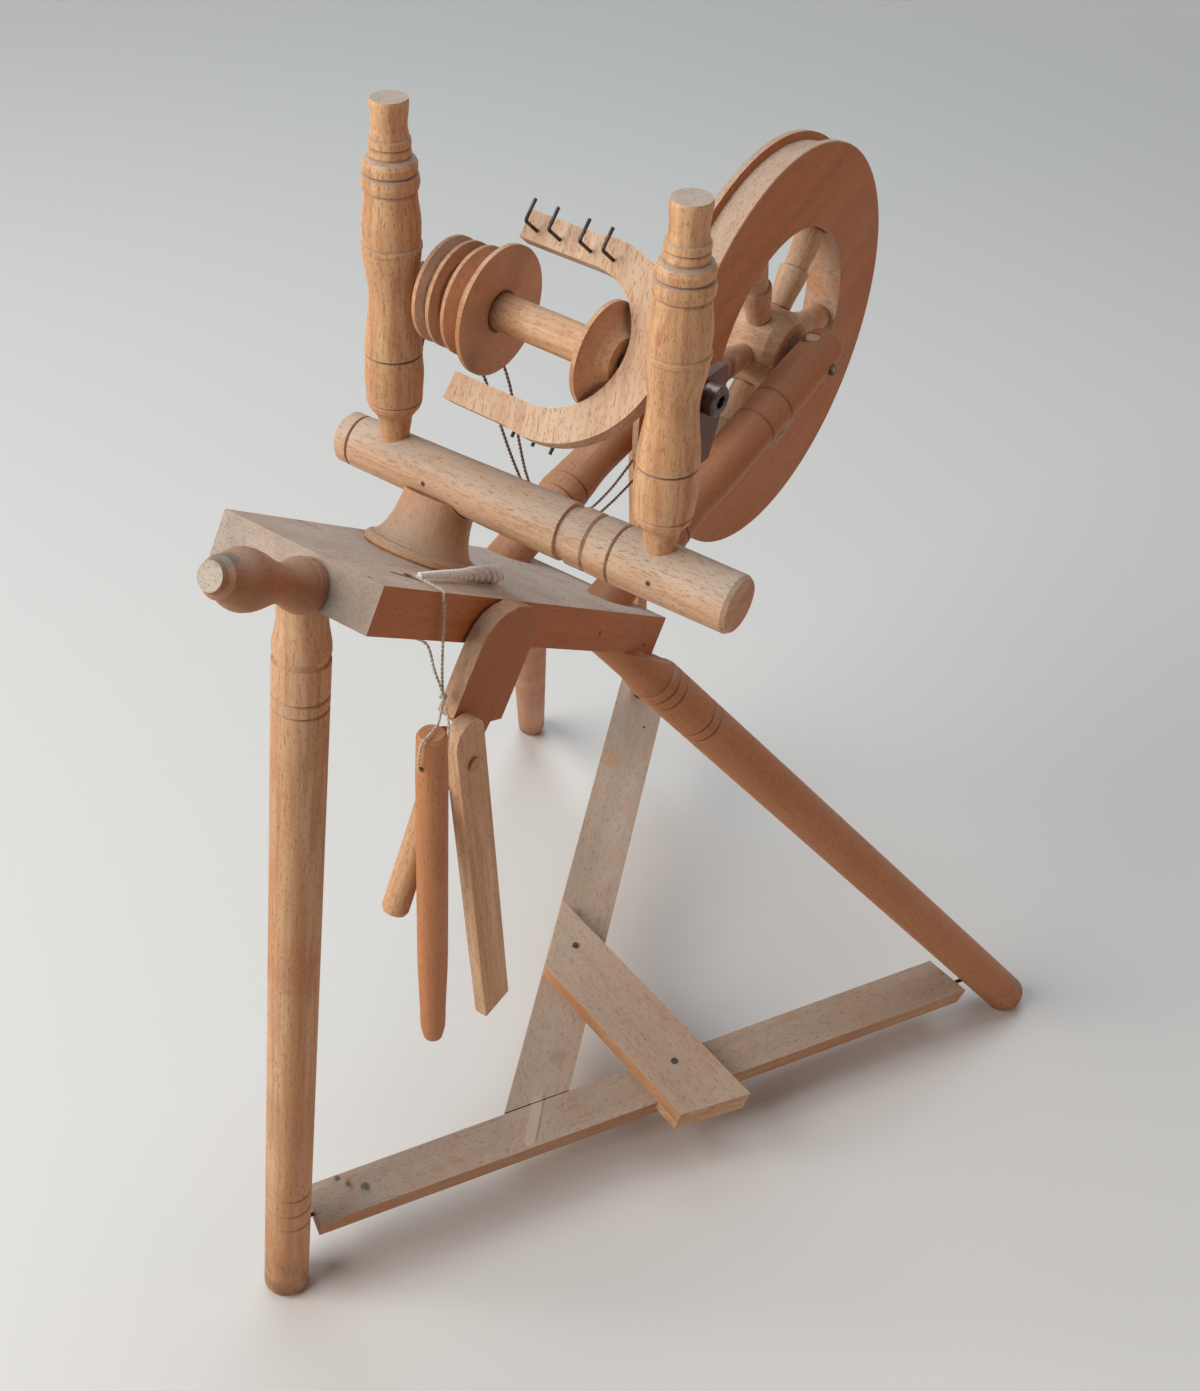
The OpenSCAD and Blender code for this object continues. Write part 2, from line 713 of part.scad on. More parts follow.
// Driving whorl, fixed on the spindle behind the bobbin
module flyer_whorl() {
    r = whorl_d / 2;
    span = whorl_back - whorl_boss_end;
    front = whorl_front - whorl_boss_end;
    profile = [[10, 0], [10, front], [r, front], [r, front + rim_lip_t - 0.2],
        [whorl_groove_r, span / 2 + front / 2 - 0.5], [whorl_groove_r, span / 2 + front / 2 + 0.5],
        [r, span - rim_lip_t + 0.2], [r, span]];
    color("sienna") place() spindle_frame() translate([0, whorl_boss_end, 0])
        rotate([-90, 0, 0]) difference() {
            turned(profile);
            translate([0, 0, -1]) cylinder(d = spindle_d + 2 * glue_gap, h = span + 2);
        }
}

// Bobbin with its own whorl, a large flange and a near flange that flares from a hub
module bobbin() {
    big = bobbin_big_d / 2;
    small = bobbin_near_d / 2;
    core = bobbin_core_d / 2;
    span = bobbin_c - bobbin_near;
    d_at = bobbin_d - bobbin_near;
    hub = bobbin_hub_r;
    flare = small - hub;
    near = [[0, -bobbin_hub_l], [hub, -bobbin_hub_l], [hub + flare * 0.15, -bobbin_hub_l * 0.7],
        [hub + flare * 0.33, -bobbin_hub_l * 0.45], [hub + flare * 0.58, -bobbin_hub_l * 0.22],
        [hub + flare * 0.84, -bobbin_hub_l * 0.06], [small, 0]];
    profile = [[small, rim_lip_t], [core + 0.6, rim_lip_t + 1.8], [core, rim_lip_t + 2.6],
        [core, d_at - 0.8], [core + 0.8, d_at - rim_lip_t], [big, d_at - rim_lip_t], [big, d_at],
        [whorl_groove_r + 0.4, d_at + 1.4], [whorl_groove_r + 0.4, span - 3],
        [whorl_d / 2 + 0.4, span - rim_lip_t + 0.2], [whorl_d / 2 + 0.4, span]];
    color("sienna") place() spindle_frame() translate([0, bobbin_near, 0])
        rotate([-90, 0, 0]) difference() {
            rotate_extrude() polygon(concat(near, profile, [[0, span]]));
            translate([0, 0, -bobbin_hub_l - 1])
                cylinder(d = spindle_d + 2 * run_gap, h = span + bobbin_hub_l + 2);
        }
}

// Puts children on the wheel's axle, with z along it from front to back
module axle_frame() {
    translate([wheel_x, 0, wheel_z]) rotate([-90, 0, 0]) children();
}

// Ring of the wheel with the groove for the drive band
module wheel_ring() {
    r = wheel_r;
    far = r + ring_far_more;
    w = wheel_w / 2;
    color("sandybrown") place() axle_frame() difference() {
        rotate_extrude($fn = 128) polygon([[wheel_in_d / 2, -w], [r - 0.3, -w], [r, -w + 0.3],
            [r, -w + lip_t], [groove_floor_r, -w + lip_t + 0.9], [groove_floor_r, w - lip_t - 0.9],
            [far, w - lip_t], [far, w - 0.3], [far - 0.3, w], [wheel_in_d / 2, w]]);
        spoke_places() translate([0, 0, wheel_in_d / 2 - 3])
            cylinder(r = spoke_end_r + glue_gap, h = 3 + spoke_socket + 0.2);
    }
}

spoke_end_r = 3.6;
module spoke_places() {
    for (k = [0 : spoke_n - 1]) rotate([0, 0, -spoke_first - k * 360 / spoke_n]) rotate([0, 90, 0])
        children();
}

// Turned spokes between the hub's and the ring's sockets
module wheel_spokes() {
    inner = hub_d / 2;
    outer = wheel_in_d / 2;
    step = inner + 15;
    profile = concat(
        [[spoke_end_r, inner - spoke_socket], [spoke_end_r, inner + 0.3]],
        eased([[inner + 0.5, spoke_d / 2 - 1.15], [step, spoke_d / 2]], 5),
        [[spoke_d / 2 - 1.1, step + 0.6]],
        eased([[step + 1, spoke_d / 2 - 1.1], [outer - 2, spoke_d / 2 - 0.3], [outer - 0.6,
            spoke_d / 2 - 0.6]], 4),
        [[spoke_end_r, outer - 0.5], [spoke_end_r, outer + spoke_socket]]);
    color("wheat") place() axle_frame() spoke_places() turned(profile);
}

module wheel_hub() {
    r = hub_d / 2;
    h = hub_l / 2;
    color("burlywood") place() axle_frame() difference() {
        turned([[r - 3, -h], [r - 2.4, -h + 0.5], [r, -h + 4.5], [r, h - 4.5], [r - 2.4, h - 0.5],
            [r - 3, h]]);
        translate([0, 0, -h - 1]) cylinder(r = axle_r + glue_gap, h = hub_l + 2);
        spoke_places() translate([0, 0, r - spoke_socket - 0.2])
            cylinder(r = spoke_end_r + glue_gap, h = spoke_socket + 3);
    }
}

// Steel axle, bent at its far end into the crank
module axle_crank() {
    front = -post_y - post_d / 2 - 0.6;
    arm_from = crank_arm_y - crank_bend_r;
    color("gray") place() axle_frame() {
        translate([0, 0, front]) cylinder(r = axle_r, h = arm_from - front);
        rotate([0, 0, -crank_turn]) {
            translate([crank_bend_r, 0, arm_from]) rotate([90, 0, 180])
                rotate_extrude(angle = 90, $fn = 48) translate([crank_bend_r, 0])
                circle(r = axle_r, $fn = 48);
            translate([crank_bend_r, 0, crank_arm_y]) rotate([0, 90, 0])
                cylinder(r = axle_r, h = crank_throw - 2 * crank_bend_r);
            translate([crank_throw - crank_bend_r, 0, crank_arm_y + crank_bend_r])
                rotate([90, 0, 0]) rotate([0, 0, -90])
                rotate_extrude(angle = 90, $fn = 48) translate([crank_bend_r, 0])
                circle(r = axle_r, $fn = 48);
            translate([crank_throw, 0, crank_arm_y + crank_bend_r])
                cylinder(r = axle_r, h = crank_pin_end - crank_arm_y - crank_bend_r);
        }
    }
}

// Tenon of a wheel post or its socket, from the table's top face inward
module post_tenon(s, y, y_axle, reach, gap) {
    foot = on_table(s, y, 0);
    head = [wheel_x, y_axle, wheel_z + axle_drop];
    between(foot, head) translate([0, 0, -reach])
        cylinder(r = post_tenon_d / 2 + gap, h = reach + 14);
}

// Turned wheel post, coped to the table and bored for the axle
module post(s, y, y_axle) {
    foot = on_table(s, y, 0);
    head = [wheel_x, y_axle, wheel_z + axle_drop];
    span = norm(head - foot);
    r = post_d / 2;
    profile = concat(
        [[7.2, -16], [7.2, 12]],
        eased([[12.5, 7.2], [28, r - 0.4]], 5),
        grooved(r, [30], 1.2),
        eased([[31, r + 0.1], [33.5, r + 0.3], [36, r + 0.1]], 3),
        grooved(r, [37.2], 1.2),
        eased([[38.4, r - 0.2], [52, r - 0.9], [72, r - 0.1], [span - 48, r]], 5),
        grooved(r, [span - 43, span - 30], 1.6),
        [[r - 0.1, span - 16]],
        [for (i = [0 : 6]) [(r - 0.5) * cos(15 * i), span + post_end - 6 + 6 * sin(15 * i)]]);
    difference() {
        between(foot, head) turned(profile);
        table_frame() translate([table_l - 120, -80, -60]) cube([160, 160, 60]);
        axle_frame() translate([0, 0, -80]) cylinder(r = axle_r + run_gap, h = 160);
        plug(y_axle, plug_d / 2 + glue_gap, 12);
    }
    difference() {
        post_tenon(s, y, y_axle, post_tenon_l, 0);
        table_frame() translate([table_l - 120, -80, 2]) cube([160, 160, 90]);
    }
}

// Wooden plug over the axle in a post's upper side, or its hole
module plug(y_axle, r, more) {
    side = y_axle < 0 ? 1 : -1;
    low = wheel_z + axle_r + 1;
    translate([wheel_x, y_axle + side * plug_y, low]) cylinder(r = r, h = plug_in + more);
}

module post_near() {
    color("peru") place() post(post_foot_near_s, post_foot_near_y, -post_y);
}

module post_far() {
    color("peru") place() post(post_foot_far_s, post_foot_far_y, post_y);
}

module post_plugs() {
    color("wheat") place() {
        plug(-post_y, plug_d / 2, 2.6);
        plug(post_y, plug_d / 2, 2.6);
    }
}

// A point of the treadle frame in the build frame
function treadle_point(a, b, w) = treadle_left
    + a * treadle_u
    + b * treadle_v
    + w * cross(treadle_u, treadle_v);
treadle_flat = [-sin(treadle_yaw), cos(treadle_yaw), 0];
treadle_v = unit(treadle_flat * cos(treadle_rise)
    + cross(treadle_u, treadle_flat) * sin(treadle_rise));
board_hole_a = board_a + board_reach * cos(board_turn) - board_hole_side * sin(board_turn);
board_hole_b = board_reach * sin(board_turn) + board_hole_side * cos(board_turn);
board_hole = treadle_point(board_hole_a, board_hole_b, 0);

// Treadle bar, hung between the front legs
module treadle_bar() {
    color("tan") place() treadle_frame() difference() {
        bar_blank(0);
        board_strip(board_w / 2 + glue_gap, 0, bar_t, -40);
        treadle_pin_pair(treadle_pin_r + glue_gap, 0.3);
    }
}

// The bar's outline, grown by gap, between the two legs
module bar_blank(gap) {
    far = treadle_span - bar_right_gap;
    back = bar_front + bar_w;
    translate([0, 0, -bar_t / 2]) linear_extrude(bar_t) polygon([[bar_from, bar_front - gap],
        [bar_from, back + gap], [far - bar_right_skew, bar_front + bar_w_right + gap],
        [far, bar_front - gap]]);
}

// Strip along the board's line: half width, lower face, height and start along it
module board_strip(half, low, high, start) {
    translate([board_a, 0, low]) rotate([0, 0, board_turn]) translate([start, -half, 0])
        cube([board_reach + board_end - start, 2 * half, high]);
}

// Treadle board, half lapped into the bar
module treadle_board() {
    color("tan") place() treadle_frame() difference() {
        union() {
            difference() {
                board_strip(board_w / 2, -bar_t / 2, bar_t, -40);
                translate([0, -80 + bar_front + bar_w + 1, -20]) cube([300, 80, 40]);
            }
            intersection() {
                bar_blank(0);
                board_strip(board_w / 2, glue_gap, bar_t / 2 - glue_gap, -40);
            }
        }
        translate([board_hole_a, board_hole_b, -bar_t]) cylinder(r = board_hole_r, h = 2 * bar_t);
    }
}

// Brace nailed on top of bar and board
module brace_plan() {
    half = brace_w / 2;
    polygon([[brace_foot_a - half, brace_foot_b + 1.8], [brace_foot_a + half, brace_foot_b],
        [brace_head_a + half * 0.66, brace_head_b + 13.3],
        [brace_head_a - half * 0.66, brace_head_b - 13.3]]);
}

module treadle_brace() {
    color("tan") place() treadle_frame() difference() {
        translate([0, 0, bar_t / 2 + glue_gap]) linear_extrude(brace_t) brace_plan();
        nail_places() cylinder(d = nail_d + 2 * glue_gap, h = 40, center = true, $fn = fine);
    }
}

// Batten under the brace, against the bar's front face
module brace_batten() {
    color("tan") place() treadle_frame() translate([0, 0, bar_t / 2 - batten_t])
        linear_extrude(batten_t) intersection() {
            brace_plan();
            translate([0, bar_front - glue_gap - 40]) square([300, 40]);
        }
}

nails = [[142.7, 66.3], [157.7, 4.1]];
module nail_places() {
    for (n = nails) translate([n[0], n[1], 0]) children();
}

// Round-headed wire nails through the brace
module treadle_nails() {
    color("dimgray") place() treadle_frame() nail_places() {
        translate([0, 0, bar_t / 2 + 0.2]) cylinder(d = nail_d, h = brace_t, $fn = fine);
        translate([0, 0, bar_t / 2 + glue_gap + brace_t])
            cylinder(d = nail_head_d, h = 0.5, $fn = fine);
    }
}

module treadle_pin_pair(r, more) {
    reach = leg_d / 2 + treadle_pin_in;
    translate([-6 - more, 0, 0]) rotate([0, 90, 0]) cylinder(r = r, h = reach + 2 * more);
    translate([treadle_span - reach - 3 - more, 0, 0]) rotate([0, 90, 0])
        cylinder(r = r, h = reach + 2 * more);
}

// Steel pins on which the treadle rocks
module treadle_pins() {
    color("dimgray") place() treadle_frame() treadle_pin_pair(treadle_pin_r, 0);
}

// Slim footman: a peg in the treadle board's hole, its head beside the crank pin
module footman() {
    head = [crank_at[0], footman_y, crank_at[2]];
    span = norm(head - board_hole);
    color("sandybrown") place() between(board_hole, head) rotate([0, 0, footman_twist]) {
        translate([0, 0, -bar_t / 2 - 2])
            cylinder(r = footman_peg_r, h = bar_t + 3 + footman_shoulder);
        translate([0, 0, footman_shoulder + bar_t / 2]) linear_extrude(span - footman_shoulder - bar_t / 2)
            square([footman_w, footman_t], center = true);
        translate([0, 0, span]) rotate([90, 0, 0]) translate([0, 0, -footman_t / 2])
            cylinder(d = footman_w, h = footman_t);
    }
}

footman_lean_v = [crank_at[0], footman_y, crank_at[2]] - board_hole;
footman_twist = -atan2(footman_lean_v[1], footman_lean_v[0]);

// Distaff arm: a sawn board on the table's front edge
arm_points = [[45.5, 278.9], [52.6, 289.2], [58.2, 296.5], [61.5, 299.2], [65.5, 300.8], [69.9, 301],
    [76, 299.6], [80.9, 296.6], [84.2, 292.8], [85.4, 288.5], [84, 284.8], [80.9, 280.7],
    [74, 271.2], [68.2, 263.4], [62.8, 265.9], [58.6, 261.8]];
module distaff_arm() {
    color("sienna") place() difference() {
        translate([0, arm_back, 0]) rotate([90, 0, 0]) linear_extrude(arm_t) polygon(arm_points);
        arm_pivot_shaft(arm_pivot_r + run_gap, 0.3);
        stub_tenon(stub_tenon_r + glue_gap, 0.3);
    }
}

// Hidden dowel on which the arm swings
module arm_pivot_shaft(r, more) {
    translate([arm_pivot_at[0], arm_back + arm_pivot_in + more, arm_pivot_at[2]])
        rotate([90, 0, 0]) cylinder(r = r, h = arm_pivot_in + arm_t - 1 + 2 * more);
}

module arm_pivot() {
    color("wheat") place() arm_pivot_shaft(arm_pivot_r, 0);
}

// Puts children at the stub rod's shoulder, z down along the rod
module stub_frame() {
    translate([stub_top[0], stub_y, stub_top[2]]) rotate([0, 180 + stub_lean, 0]) children();
}

module stub_tenon(r, more) {
    translate([0, arm_mid - stub_y, 0]) stub_frame() translate([0, 0, -stub_in - more])
        cylinder(r = r, h = stub_in + more + 1);
}

// Stub rod plugged in the arm's lower end
module stub_rod() {
    color("sandybrown") place() {
        difference() {
            stub_frame() turned([[stub_d / 2, 0], [stub_d / 2, stub_l - 2],
                [stub_d / 2 - 0.7, stub_l - 0.6], [stub_d / 2 - 2, stub_l]]);
            bar_pin_shaft(bar_pin_r + glue_gap, 0.3);
        }
        stub_tenon(stub_tenon_r, 0);
    }
}

module bar_pin_shaft(r, more) {
    translate([bar_pin_at[0], stub_y + 1 + more, bar_pin_at[2]]) rotate([90, 0, 0])
        cylinder(r = r, h = stub_y + 1 + more - dist_bar_mid + dist_bar_t / 2 + 0.2, $fn = fine);
}

// Pin that carries the distaff bar on the stub rod
module bar_pin() {
    color("dimgray") place() {
        bar_pin_shaft(bar_pin_r, 0);
        translate([bar_pin_at[0], dist_bar_mid - dist_bar_t / 2 - 0.2, bar_pin_at[2]])
            rotate([90, 0, 0]) cylinder(r = bar_pin_head_r, h = 0.7, $fn = fine);
    }
}

// Flat distaff bar, rounded at its upper end
module distaff_bar() {
    w = dist_bar_w / 2;
    color("burlywood") place() translate([bar_pin_at[0], dist_bar_back, bar_pin_at[2]])
        rotate([0, -dist_bar_lean, 0]) rotate([90, 0, 0]) difference() {
            linear_extrude(dist_bar_t) union() {
                translate([-w, bar_top_over - dist_bar_l]) square([2 * w, dist_bar_l - w]);
                translate([0, bar_top_over - w]) circle(r = w);
            }
            translate([0, 0, -1]) cylinder(r = bar_pin_r + run_gap, h = dist_bar_t + 2, $fn = fine);
        }
}

// Loose turned rod that hangs on the string
module loose_rod() {
    r = rod_d / 2;
    profile = concat(
        [[r - 2.8, -rod_l], [r - 1.6, -rod_l + 1.4], [r - 0.8, -rod_l + 6]],
        eased([[-rod_l + 8, r - 0.7], [-rod_l + 40, r], [-14, r - 0.1]], 4),
        [[r - 0.4, -1.2], [r - 1.2, 0]]);
    color("sandybrown") place() translate(rod_at) difference() {
        turned(profile);
        translate([0, 0, -rod_hole_down]) rotate([0, 90, 0])
            cylinder(r = rod_hole_r, h = 40, center = true, $fn = fine);
    }
}

// Slack drive band: two free stretches from the whorl to the far side of the hub
function on_spindle(x, y, z) = let (flat = y * cos(flyer_dip) - z * sin(flyer_dip)) [
    flyer_x + x * cos(flyer_yaw) + flat * sin(flyer_yaw),
    flat * cos(flyer_yaw) - x * sin(flyer_yaw),
    flyer_z + y * sin(flyer_dip) + z * cos(flyer_dip)];
upper_strand = [
    on_spindle(band_turn_r, whorl_y, 0), on_spindle(band_turn_r + 0.4, whorl_y, -7), [115.4, 1.8, 355],
    [122, 2, 346], [130, 2, 329], [136, 2.4, 308], [143, 3, 289], [153, 3.6, 274], [168, 4.6, 261],
    [184, 5.8, 254.6], [200, 7.4, 254], [214, 8.8, 256.6], [230, hub_turn_y, 262.6],
    [246, hub_turn_y, 270], [262, hub_turn_y, 281], [276, hub_turn_y, 289.6],
    [284, hub_turn_y, 292.2], [wheel_x, hub_turn_y, wheel_z + hub_turn_r]];
lower_strand = [
    on_spindle(0, whorl_y, -band_turn_r), on_spindle(4.4, whorl_y, -13.6), [111.4, 2, 349], [118, 2, 335.5],
    [126, 2, 317], [132, 1.2, 302], [140, 1, 286.5], [151, 1.6, 271.6], [166, 2.8, 258.4],
    [182, 4.2, 251.6], [198, 5.6, 250], [214, 7.6, 249.6], [230, 9.2, 250.4], [246, hub_turn_y, 252],
    [262, hub_turn_y, 255], [276, hub_turn_y, 259.4], [284, hub_turn_y, 261.1],
    [wheel_x, hub_turn_y, wheel_z - hub_turn_r]];

module drive_band() {
    color("saddlebrown") place() {
        cord(smooth(upper_strand, 2), band_cord_d);
        cord(smooth(lower_strand, 2), band_cord_d);
    }
}

// The band's turns in the whorl's groove and round the far end of the hub
module band_turns() {
    color("saddlebrown") place() {
        spindle_frame() translate([0, whorl_y, 0]) rotate([-90, 0, 0])
            rotate([0, 0, 90]) rotate_extrude(angle = 270)
            translate([band_turn_r, 0]) circle(d = band_cord_d, $fn = fine);
        translate([wheel_x, hub_turn_y, wheel_z]) rotate([-90, 0, 0])
            rotate([0, 0, -90]) rotate_extrude(angle = 180)
            translate([hub_turn_r, 0]) circle(d = band_cord_d, $fn = fine);
    }
}

// White string from the table's hole over the front edge to the loose rod
module hanging_string() {
    color("white") place() {
        cord(smooth(front_string, 3), string_d);
        cord(smooth(back_string, 3), string_d);
    }
}
string_knot = [45, -40, 285.5];
front_string = [
    on_table(28, -26.4, 0.8), on_table(27, -30, 0.8), on_table(26.4, -34.4, 0.8),
    on_table(26.4, -37.5, 0.5), on_table(26.6, -38.2, -1.2), [47.4, -38.4, 312], [46.6, -38.6, 303],
    [45.8, -39, 294], string_knot, [40.6, -45.4, 281.6], [35.4, -49, 279.2], [33.2, -49.6, 279]];
back_string = [
    on_table(31, -27, -table_t - 0.8), on_table(31.5, -31, -table_t - 1.6), [43.2, -36, 302.4],
    [43.8, -38, 294], string_knot + [-0.7, -0.6, 1], [38, -45, 288.4], [31, -49.4, 290],
    [26, -50.6, 290.3], [22.7, -50.4, 289.2], [22.1, -50, 285.4], [22.2, -49.6, 281], [22.7, -49.6, 279]];

// White twisted cotton that lies along the table
module string_tuft() {
    color("white") place() cord(smooth([
        on_table(29.4, -28.1, 1.5), on_table(38, -27.2, 1.7), on_table(52, -25.4, 1.7),
        on_table(66, -23.4, 1.9), on_table(80, -21.2, 1.8)], 3), 2.6);
}

table();
leg_left();
leg_right();
leg_back();
tension_knob();
collar();
carrier_beam();
maiden_far();
maiden_near();
bearing_far();
bearing_near();
flyer();
flyer_spindle();
flyer_hooks();
flyer_whorl();
bobbin();
wheel_ring();
wheel_spokes();
wheel_hub();
axle_crank();
post_near();
post_far();
post_plugs();
footman();
treadle_bar();
treadle_board();
treadle_brace();
brace_batten();
treadle_nails();
treadle_pins();
distaff_arm();
arm_pivot();
distaff_bar();
bar_pin();
stub_rod();
loose_rod();
drive_band();
band_turns();
hanging_string();
string_tuft();
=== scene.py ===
import math
import random

import bmesh
import bpy
import numpy as np
from mathutils import Matrix, Vector


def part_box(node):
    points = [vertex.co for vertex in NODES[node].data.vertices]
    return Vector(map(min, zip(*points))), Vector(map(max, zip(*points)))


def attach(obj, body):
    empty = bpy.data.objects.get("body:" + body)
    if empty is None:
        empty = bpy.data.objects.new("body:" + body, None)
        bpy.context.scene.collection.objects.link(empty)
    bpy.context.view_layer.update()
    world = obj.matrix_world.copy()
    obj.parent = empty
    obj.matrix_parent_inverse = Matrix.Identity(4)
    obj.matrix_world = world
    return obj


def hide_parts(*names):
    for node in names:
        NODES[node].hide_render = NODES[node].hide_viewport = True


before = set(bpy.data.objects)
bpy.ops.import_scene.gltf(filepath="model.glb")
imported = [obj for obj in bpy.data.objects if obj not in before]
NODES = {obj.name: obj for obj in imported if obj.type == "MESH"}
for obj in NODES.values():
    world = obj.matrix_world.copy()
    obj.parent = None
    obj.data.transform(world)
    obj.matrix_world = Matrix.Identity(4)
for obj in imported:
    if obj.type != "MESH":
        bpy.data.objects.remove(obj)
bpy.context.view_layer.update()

# ---------------------------------------------------------------- places

WHEEL_X = 289.2
AXLE_Z = 276.9
MM = 0.001
low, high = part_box("wheel_ring")
wheel_centre = (low + high) / 2
SHIFT = Vector((wheel_centre.x - WHEEL_X * MM, wheel_centre.y, 0.0))


def at(point):
    """A point of the source, given in mm, as a place in the frame, in metres."""
    return Vector(point) * MM + SHIFT


# ---------------------------------------------------------------- camera

CAMERA_AT = (-226.2, -254.4, 576.9)
CAMERA_AIM = Vector((0.5985, 0.4493, -0.6633))
CAMERA_RIGHT = Vector((0.6003, -0.7997, 0.0))
CAMERA_UP = Vector((0.5304, 0.3982, 0.7483))
CAMERA_ROLL = math.radians(1.068)
LENS_MM = 49.343
SENSOR_MM = 36.0
LENS_SHIFT = (0.1051, 0.0348)


def make_camera():
    """The camera at the photograph's place, with its lens and shift."""
    data = bpy.data.cameras.new("camera")
    data.lens = LENS_MM
    data.sensor_width = SENSOR_MM
    data.sensor_fit = "HORIZONTAL"
    data.shift_x, data.shift_y = LENS_SHIFT
    data.clip_start = 0.01
    camera = bpy.data.objects.new("camera", data)
    right = CAMERA_RIGHT * math.cos(CAMERA_ROLL) + CAMERA_UP * math.sin(CAMERA_ROLL)
    up = CAMERA_UP * math.cos(CAMERA_ROLL) - CAMERA_RIGHT * math.sin(CAMERA_ROLL)
    turn = Matrix((right, up, -CAMERA_AIM)).transposed().to_4x4()
    camera.matrix_world = Matrix.Translation(at(CAMERA_AT)) @ turn
    bpy.context.scene.collection.objects.link(camera)
    bpy.context.scene.camera = camera


make_camera()

# ---------------------------------------------------------------- node helpers


WOBBLE = 0.006
WOBBLES_PER_M = 160.0
HOLLOW_STEP = (0.45, 0.9)


class Paint:
    """A material's node tree, with short calls for the nodes used here."""

    def __init__(self, name):
        self.material = bpy.data.materials.new(name)
        self.material.use_nodes = True
        self.tree = self.material.node_tree
        self.tree.nodes.clear()
        self.shader = self.node("BsdfPrincipled")
        self.out = self.node("OutputMaterial", (self.shader.outputs["BSDF"],))
        coords = self.node("TexCoord")
        self.place = coords.outputs["Object"]
        self.normal = coords.outputs["Normal"]

    def set(self, socket, value):
        """Links the value to the socket, or writes it there when it is plain."""
        if isinstance(value, bpy.types.NodeSocket):
            self.tree.links.new(value, socket)
        else:
            socket.default_value = value

    def node(self, kind, values=(), operation=None):
        """A new node with its first inputs set."""
        node = self.tree.nodes.new("ShaderNode" + kind)
        if operation:
            node.operation = operation
        for socket, value in zip(node.inputs, values):
            self.set(socket, value)
        return node

    def math(self, operation, *values):
        return self.node("Math", values, operation).outputs[0]

    def vector(self, operation, *values):
        return self.node("VectorMath", values, operation).outputs[0]

    def measure(self, operation, *values):
        """A vector operation whose result is one number."""
        return self.node("VectorMath", values, operation).outputs["Value"]

    def scaled(self, vector, factor):
        node = self.node("VectorMath", (vector,), "SCALE")
        self.set(node.inputs["Scale"], factor)
        return node.outputs[0]

    def height_of(self, value):
        """The third part of a vector."""
        return self.node("SeparateXYZ", (value,)).outputs[2]

    def noise(self, place, scale, detail=2.0, rough=0.5, warp=0.0):
        node = self.node("TexNoise", (place,))
        node.inputs["Scale"].default_value = scale
        node.inputs["Detail"].default_value = detail
        node.inputs["Roughness"].default_value = rough
        node.inputs["Distortion"].default_value = warp
        return node.outputs[0]

    def cells(self, place, scale):
        node = self.node("TexVoronoi", (place,))
        node.inputs["Scale"].default_value = scale
        return node.outputs["Distance"]

    def step(self, value, low, high, start=0.0, end=1.0):
        """value mapped smoothly from low..high to start..end."""
        node = self.node("MapRange", (value, low, high, start, end))
        node.interpolation_type = "SMOOTHSTEP"
        return node.outputs[0]

    def mix(self, share, first, second):
        """Two colours mixed; share is how much of the second."""
        node = self.node("Mix")
        node.data_type = "RGBA"
        for i, value in ((0, share), (6, first), (7, second)):
            self.set(node.inputs[i], (*value, 1.0) if isinstance(value, tuple) else value)
        return node.outputs[2]

    def part_mix(self, mask, share, first, second):
        """Two colours mixed by a mask that counts only for this share."""
        return self.mix(self.math("MULTIPLY", mask, share), first, second)

    def along(self, origin, axis):
        """The place seen from origin, with z along axis."""
        node = self.node("Mapping", (self.place,))
        node.vector_type = "TEXTURE"
        node.inputs["Location"].default_value = origin
        node.inputs["Rotation"].default_value = Vector(axis).to_track_quat("Z", "Y").to_euler()
        return node.outputs[0]

    def spot(self, centre, reach, soft, place=None):
        """1 within reach of centre, in metres, and 0 beyond reach + soft."""
        apart = self.measure("DISTANCE", self.place if place is None else place, centre)
        return self.step(apart, reach, reach + soft, 1.0, 0.0)

    def streak(self, first, last, reach, soft):
        """1 within reach of the line from first to last and 0 beyond reach + soft."""
        run = last - first
        gone = self.vector("SUBTRACT", self.place, first)
        share = self.math("DIVIDE", self.measure("DOT_PRODUCT", gone, run), run.length_squared)
        share.node.use_clamp = True
        apart = self.measure("DISTANCE", gone, self.scaled(run, share))
        return self.step(apart, reach, reach + soft, 1.0, 0.0)

    def ragged(self):
        """The place with a wobble of about a millimetre, for ragged stains."""
        node = self.node("TexNoise", (self.place,))
        node.inputs["Scale"].default_value = WOBBLES_PER_M
        wobble = self.vector("SUBTRACT", node.outputs["Color"], (0.5, 0.5, 0.5))
        return self.vector("ADD", self.place, self.vector("MULTIPLY", wobble, (WOBBLE,) * 3))

    def hollow(self, reach, inside=False):
        """1 deep in grooves and inner corners, or along outer edges where inside is set."""
        node = self.node("AmbientOcclusion")
        node.samples = 4
        node.only_local = True
        node.inside = inside
        node.inputs["Distance"].default_value = reach
        return self.step(node.outputs["AO"], *HOLLOW_STEP, 1.0, 0.0)

    def marked(self, color, marks):
        """The colour with the photo's marks, each (kind, centre, reach, soft, color, share)."""
        for kind, centre, reach, soft, mark_color, share in marks:
            if kind == "line":
                spot = self.streak(*centre, reach, soft)
            else:
                place = self.ragged() if kind == "stain" else None
                spot = self.spot(centre, reach, soft, place)
            color = self.part_mix(spot, share, color, mark_color)
        return color

